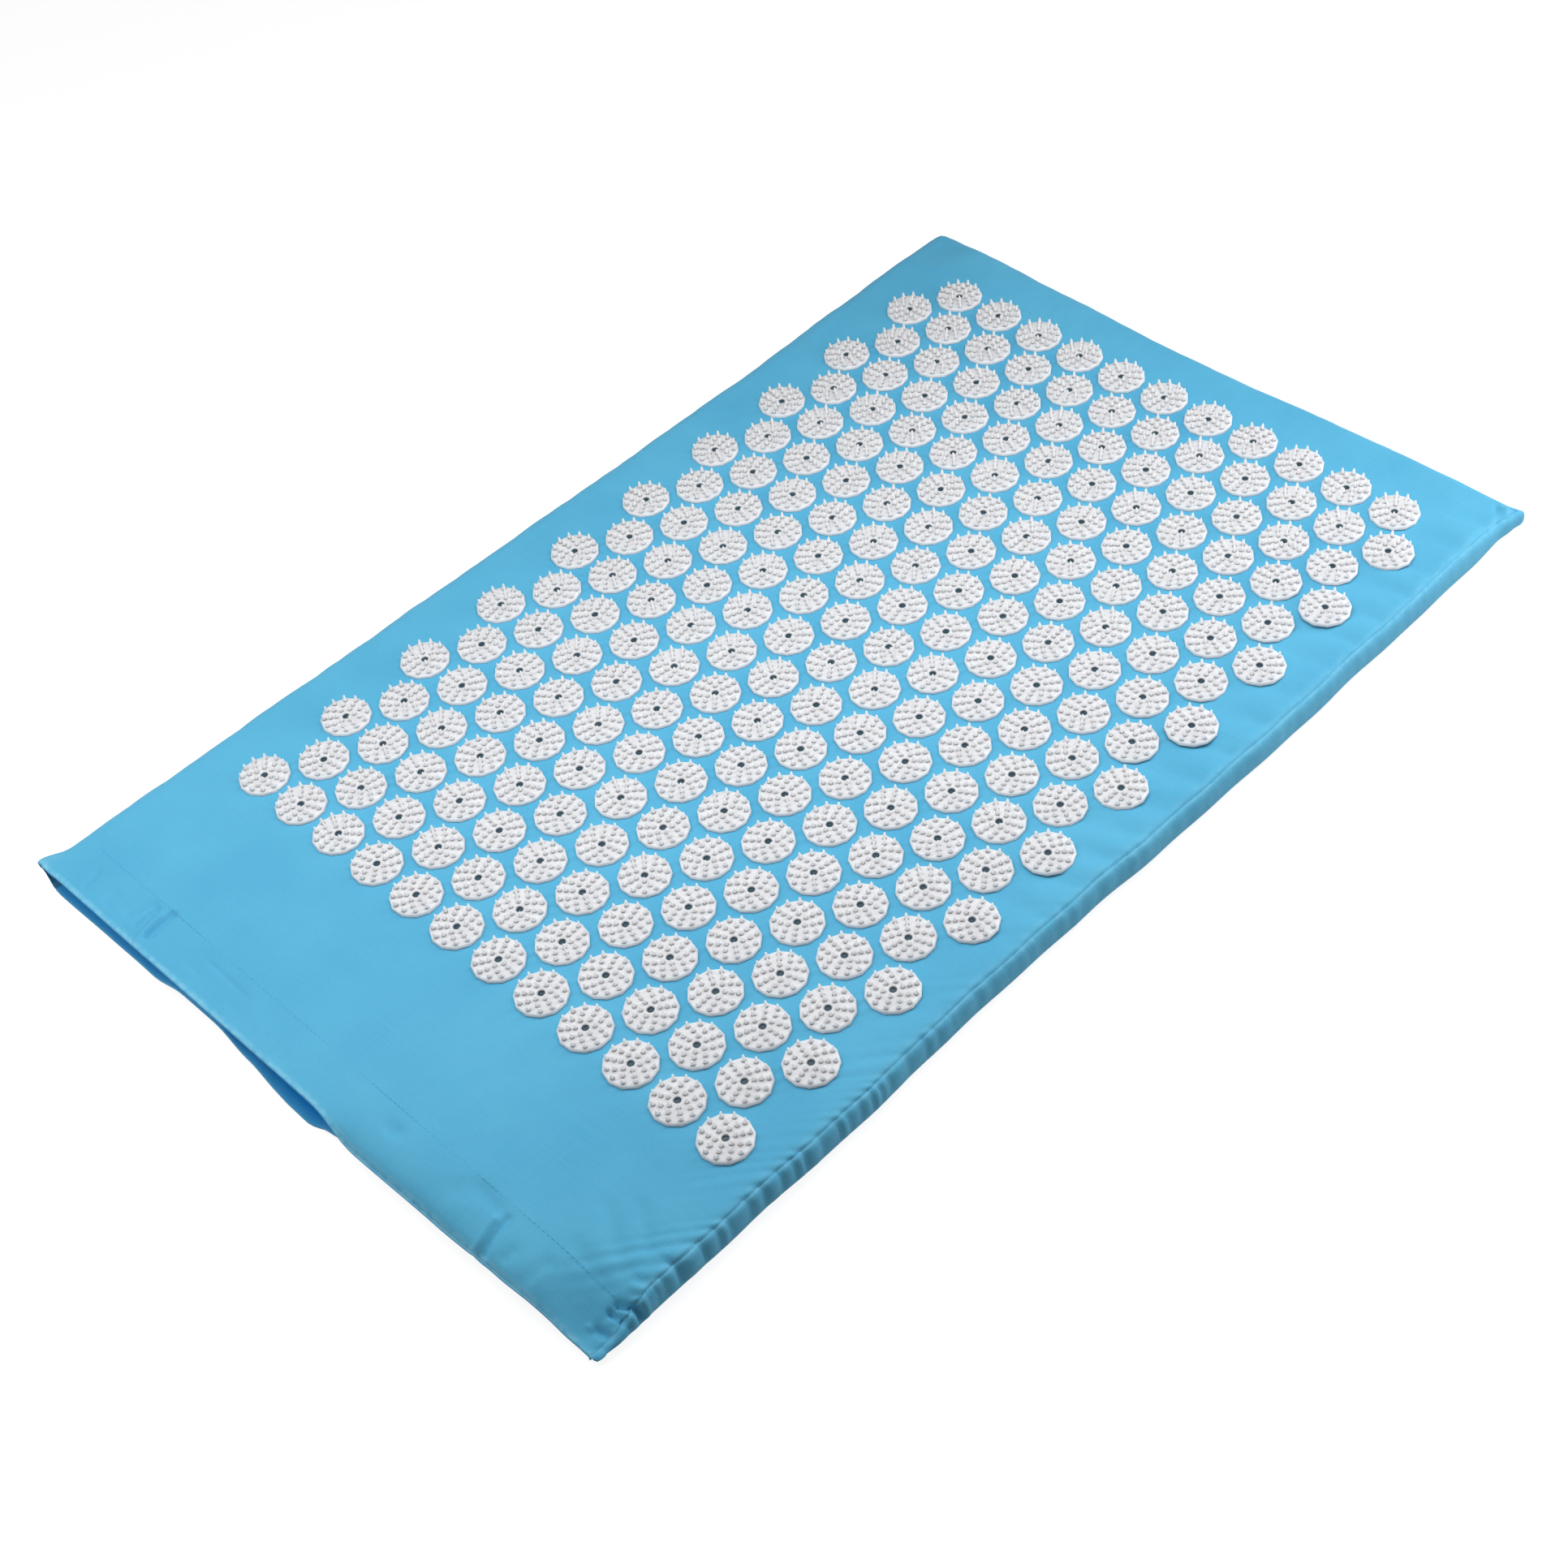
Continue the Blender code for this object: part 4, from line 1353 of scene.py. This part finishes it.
@dataclass
class Stitching:
    """Rows of sewing on the hems and the patches."""

    shape: CoverShape = field(default_factory=CoverShape)
    pitch: float = 0.0032
    length: float = 0.0025
    thread: float = 0.00024
    hem_line: float = 0.0265
    hem_ends: tuple[float, float] = (-0.196, 0.2)
    patch_border: float = 0.0021
    patch_level: float = 0.42
    patch_margins: tuple[float, float] = (0.0038, 0.0030)

    def stitches(self, starts: Array, ways: Array) -> tuple[Array, Array]:
        """Short lengths of thread that dip into the cloth at both ends.

        A stitch is a four-sided tube carried along a low arc: a sine of its share, about as high as the thread is
        thick, and three fifths as thick at the ends as in the middle.

        Args:
            starts: the stitches' middles on the cloth.
            ways: the directions that they run in, of length 1.

        Returns:
            The points and faces.
        """
        share = np.linspace(0, 1, 5)[:, None]
        lift = self.thread * (0.8 * np.sin(math.pi * share) - 0.55)
        radius = self.thread / 2 * (0.6 + 0.4 * np.sin(math.pi * share))
        around = (np.arange(4) * math.tau / 4 + math.pi / 4)[:, None]
        up = np.array([0.0, 0.0, 1.0])
        beside = np.stack([-ways[:, 1], ways[:, 0], 0 * ways[:, 0]], axis=-1)[:, None]
        line = starts[:, None] + ways[:, None] * (share - 0.5) * self.length + up * lift
        ring = np.cos(around) * beside + np.sin(around) * up
        points = line[:, :, None] + radius[:, None] * ring[:, None]
        ends = np.array([[3, 2, 1, 0], [16, 17, 18, 19]])
        one = np.concatenate([grid_faces(len(share), 4, flip=True, closed=True), ends])
        return points.reshape(-1, 3), repeated(one, len(starts), 4 * len(share))

    def hem_row(self, height: Callable[[Array, Array], Array]) -> tuple[Array, Array]:
        """A row of stitches along a hem.

        Args:
            height: gives the cloth's height at places.

        Returns:
            The points and faces.
        """
        y = np.arange(*self.hem_ends, self.pitch)
        x = np.full(len(y), self.hem_line - self.shape.half_length)
        climb = (height(x, y + MM) - height(x, y)) / MM
        ways = np.stack([0 * y, 0 * y + 1, climb], axis=-1)
        ways /= np.linalg.norm(ways, axis=1, keepdims=True)
        return self.stitches(np.stack([x, y, height(x, y)], axis=-1), ways)

    def patch_row(self, patch: Patch) -> tuple[Array, Array]:
        """Stitches round the working face of a fastener patch, inside its border.

        Args:
            patch: which patch.

        Returns:
            The points and faces.
        """
        middle, half = patch.sides()
        start, stop = self.patch_margins
        spots, ways = [], []
        for axis in (0, 1):
            run = np.arange(start - half[axis], half[axis] - stop, self.pitch)
            for sign in (-1, 1):
                spot = np.zeros((len(run), 3))
                spot[:, axis] = run
                spot[:, 1 - axis] = sign * (half[1 - axis] - self.patch_border)
                spot[:, 2] = patch.up * self.patch_level * half[2]
                spots.append(spot + middle)
                ways.append(np.tile(np.eye(3)[axis], (len(run), 1)))
        return self.stitches(np.concatenate(spots), np.concatenate(ways))

    def build(self) -> None:
        """Sew the two hems and the six patches."""
        material = ThreadFinish().material()
        shape = self.shape
        rows = {
            "upper_hem_stitching": self.hem_row(shape.top_height),
            "lower_hem_stitching": self.hem_row(lambda x, y: shape.bottom_height(x, y) + shape.hem_thickness),
        }
        rows |= {f"{patch.kind.value}_stitching_{patch.number}": self.patch_row(patch) for patch in PATCHES}
        for name, (points, faces) in rows.items():
            dress(mesh_object(name, points, [faces]), material, "cover")


@dataclass
class DiscField:
    """Twenty staggered rows of moulded discs, each with twenty-seven spikes in three rings.

    A ring is given by its count of spikes, its radius and how far its spikes lean out.
    """

    pitch: float = 0.0317
    first_row: float = -0.227
    offset: float = 0.004
    rows: int = 20
    widest: int = 12
    node_rows: int = 2
    radius: float = 0.01385
    seat: float = 0.0207
    plate_top: float = 0.0227
    tip: float = 0.0265
    hole: float = 0.00180
    # The height of the hole's floor, which takes the painted shade.
    hole_floor: float = 0.0216
    lobes: int = 12
    scallop: float = 0.0005
    rings: tuple[tuple[int, float, float], ...] = ((12, 0.01135, 0.20), (9, 0.00795, 0.12), (6, 0.0046, 0.06))
    spike_base: float = 0.00132
    spike_sides: int = 5
    spike_root: float = 0.0002
    blunt_radius: float = 0.40
    blunt_height: float = 0.84
    rim: float = 0.0006
    shoulder: float = 0.0014
    hole_rim: float = 0.0004

    def plate(self) -> tuple[Array, Array, Array]:
        """One disc's plate.

        Its outline is a circle with twelve lobes: the radius less half the scallop times (1 − cosine of twelve
        times the turn). It is carried up the rim, over a rounded shoulder and in over the top to the hole, and
        down the hole to its floor.

        Returns:
            The points, the four-cornered faces and the face that closes the hole's bottom.
        """
        turn = np.linspace(0, math.tau, 2 * self.lobes, endpoint=False)
        notch = self.scallop * (1 - np.cos(self.lobes * turn)) / 2
        rings = (
            (self.radius, self.seat, 1), (self.radius, self.plate_top - self.rim, 1),
            (self.radius - self.rim, self.plate_top, 1), (self.radius - self.shoulder, self.plate_top, 1),
            (self.hole + self.rim, self.plate_top, 0), (self.hole, self.plate_top - self.hole_rim, 0),
            (self.hole, self.hole_floor, 0),
        )
        points = []
        for reach, height, lobed in rings:
            points.append(circle(turn, height))
            points[-1][:, :2] *= (reach - notch * lobed)[:, None]
        around = len(turn)
        bottom = np.arange(around)[None] + (len(rings) - 1) * around
        return np.concatenate(points), grid_faces(len(rings), around, flip=True, closed=True), bottom

    def spikes(self) -> tuple[Array, Array, Array]:
        """One disc's spikes.

        A spike is a five-sided cone with a blunt tip: its radius falls from the base's to two fifths of it by five
        sixths of the height, and to a point at the tip. The outer ones lean out.

        Returns:
            The points, the four-cornered faces and the three-cornered ones.
        """
        sides = self.spike_sides
        tall = self.tip - self.plate_top
        flat = circle(np.arange(sides) * math.tau / sides) * self.spike_base
        blunt = flat * self.blunt_radius + [0, 0, tall * self.blunt_height]
        one = np.concatenate([flat - [0, 0, self.spike_root], blunt, [[0, 0, tall]]])
        points = []
        for count, radius, lean in self.rings:
            out = circle(np.arange(count) * math.tau / count)[:, None]
            points.append(out * (radius + lean * np.maximum(one[:, 2:], 0)) + one + [0, 0, self.plate_top])
        points = np.concatenate(points)
        quads = repeated(grid_faces(2, sides, flip=True, closed=True), len(points), len(one))
        return points.reshape(-1, 3), quads, repeated(fan(sides, sides, 2 * sides), len(points), len(one))

    def places(self, row: int) -> Array:
        """The middles of a row's discs, from its left end. Even rows hold one disc fewer."""
        count = self.widest - (row + 1) % 2
        y = ((count + 1) / 2 - np.arange(1, count + 1)) * self.pitch - self.offset
        return np.stack([np.full(count, self.first_row + (row - 1) * self.pitch * math.sqrt(3) / 2), y], axis=-1)

    def build(self) -> None:
        """Build and dress the rows. Each disc is turned a little, as glued ones are."""
        material = MouldedFinish().material()
        plate, plate_faces, bottom = self.plate()
        spikes, quads, tips = self.spikes()
        one = np.concatenate([plate, spikes])
        groups = (np.concatenate([plate_faces, quads + len(plate)]), tips + len(plate), bottom)
        # Painted shade: the hole's floor is marked fully and the ring above it by half, for the finish to darken
        # them.
        deep = np.zeros(len(one))
        deep[bottom[0]], deep[bottom[0] - bottom.size] = 1.0, 0.5
        dice = np.random.default_rng(5)
        for row in range(1, self.rows + 1):
            places = self.places(row)
            turn = dice.uniform(0, math.tau, len(places))
            cos, sin = np.cos(turn)[:, None], np.sin(turn)[:, None]
            x = one[:, 0] * cos - one[:, 1] * sin + places[:, :1]
            y = one[:, 0] * sin + one[:, 1] * cos + places[:, 1:]
            points = np.stack([x, y, np.broadcast_to(one[:, 2], x.shape)], axis=-1).reshape(-1, 3)
            faces = [repeated(group, len(places), len(one)) for group in groups]
            piece = mesh_object(f"disc_row_{row:02d}", points, faces)
            piece.data.set_sharp_from_angle(angle=80 * DEGREE)
            set_shares(piece, "deep", np.tile(deep, len(places)))
            if row <= self.node_rows:
                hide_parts(*[f"disc_r{row:02d}_c{column:02d}" for column in range(1, len(places) + 1)])
            dress(piece, material, "cover")


@dataclass(frozen=True)
class Lamp:
    """A soft rectangular lamp. Unturned it shines straight down."""

    name: str
    place: tuple[float, float, float]
    turn: tuple[float, float, float]
    size: tuple[float, float]
    power: float

    def build(self) -> None:
        """Hang it."""
        data = bpy.data.lights.new(self.name, "AREA")
        data.shape = "RECTANGLE"
        data.size, data.size_y = self.size
        data.energy = self.power
        lamp = bpy.data.objects.new(self.name, data)
        lamp.matrix_world = Matrix.Translation(self.place) @ Euler(self.turn).to_matrix().to_4x4()
        bpy.context.scene.collection.objects.link(lamp)


# The long lamp hangs along the mat's diagonal from the left mouth corner to the right far one.
LAMPS = (
    Lamp("long_lamp", (-0.07, 0.03, 0.57), (0.0, 0.0, -32 * DEGREE), (1.9, 0.35), 6.6),
    Lamp("side_lamp", (0.74, -0.64, 0.20), (76 * DEGREE, 0.0, 47 * DEGREE), (0.6, 0.25), 3.4),
)


@dataclass
class Studio:
    """The pale floor, the soft light and the camera."""

    camera_place: tuple[float, float, float] = (-0.5969, -0.7280, 0.9563)
    heading: float = 51.649 * DEGREE
    look_down: float = 47.056 * DEGREE
    roll: float = 9.071 * DEGREE
    lens: float = 58.02
    sensor: float = 36.0
    floor_size: float = 8.0
    floor_gap: float = 0.0003
    floor_colour: Colour = (0.35, 0.35, 0.35)
    floor_glow: float = 0.85
    world_light: float = 0.25
    lamps: tuple[Lamp, ...] = LAMPS

    def build_camera(self) -> None:
        """Set the camera: its way ahead by heading and elevation, then its right and up turned by the roll."""
        level, tilt = math.cos(self.look_down), -math.sin(self.look_down)
        ahead = np.array([level * math.cos(self.heading), level * math.sin(self.heading), tilt])
        right = np.cross(ahead, [0, 0, 1])
        right /= np.linalg.norm(right)
        up = np.cross(right, ahead)
        cos, sin = math.cos(self.roll), math.sin(self.roll)
        data = bpy.data.cameras.new("camera")
        data.lens, data.sensor_width = self.lens, self.sensor
        data.clip_start, data.clip_end = 0.01, 20.0
        camera = bpy.data.objects.new("camera", data)
        turned = np.eye(4)
        turned[:3] = np.stack([cos * right - sin * up, sin * right + cos * up, -ahead, self.camera_place], axis=-1)
        camera.matrix_world = Matrix(turned.tolist())
        bpy.context.scene.collection.objects.link(camera)
        bpy.context.scene.camera = camera

    def build_floor(self) -> None:
        """A broad pale floor that shows white to the camera and keeps the mat's shadow."""
        corners = np.array([[-1, -1], [1, -1], [1, 1], [-1, 1]]) * self.floor_size / 2
        points = np.concatenate([corners, np.full((4, 1), -self.floor_gap)], axis=1)
        floor = mesh_object("floor", points, [np.array([[0, 1, 2, 3]])])
        made = Shader("pale_floor", Base_Color=self.floor_colour, Roughness=0.9, Specular_IOR_Level=0.0,
                      Emission_Color=(1.0, 1.0, 1.0))
        path = made.node("LightPath")
        seen = made.math("MAXIMUM", path.outputs["Is Camera Ray"], path.outputs["Is Glossy Ray"])
        made.put(made.surface.inputs["Emission Strength"], made.math("MULTIPLY", seen, self.floor_glow))
        floor.data.materials.append(made.material)

    def build_world(self) -> None:
        """Even light from all round, which shows as plain white where the camera sees past the floor."""
        world = bpy.data.worlds.new("studio")
        world.use_nodes = True
        tree = world.node_tree
        background = tree.nodes["Background"]
        background.inputs["Color"].default_value = (1.0, 1.0, 1.0, 1.0)
        path = tree.nodes.new("ShaderNodeLightPath")
        strength = tree.nodes.new("ShaderNodeMapRange")
        strength.inputs["To Min"].default_value = self.world_light
        strength.inputs["To Max"].default_value = 1.0
        tree.links.new(path.outputs["Is Camera Ray"], strength.inputs["Value"])
        tree.links.new(strength.outputs[0], background.inputs["Strength"])
        bpy.context.scene.world = world

    def build(self) -> None:
        """Set up the studio."""
        self.build_camera()
        self.build_floor()
        self.build_world()
        for lamp in self.lamps:
            lamp.build()
        bpy.context.scene.view_settings.view_transform = "Standard"
        log.info("studio: camera, floor, world and %d lamps", len(self.lamps))


def main() -> None:
    """Build the mat's pieces in order, then the studio."""
    logging.basicConfig(level=logging.INFO, format="%(name)s: %(message)s")
    Core().build()
    Closing().build()
    Cover().build()
    Stitching().build()
    DiscField().build()
    Studio().build()


if __name__ == "__main__":
    main()
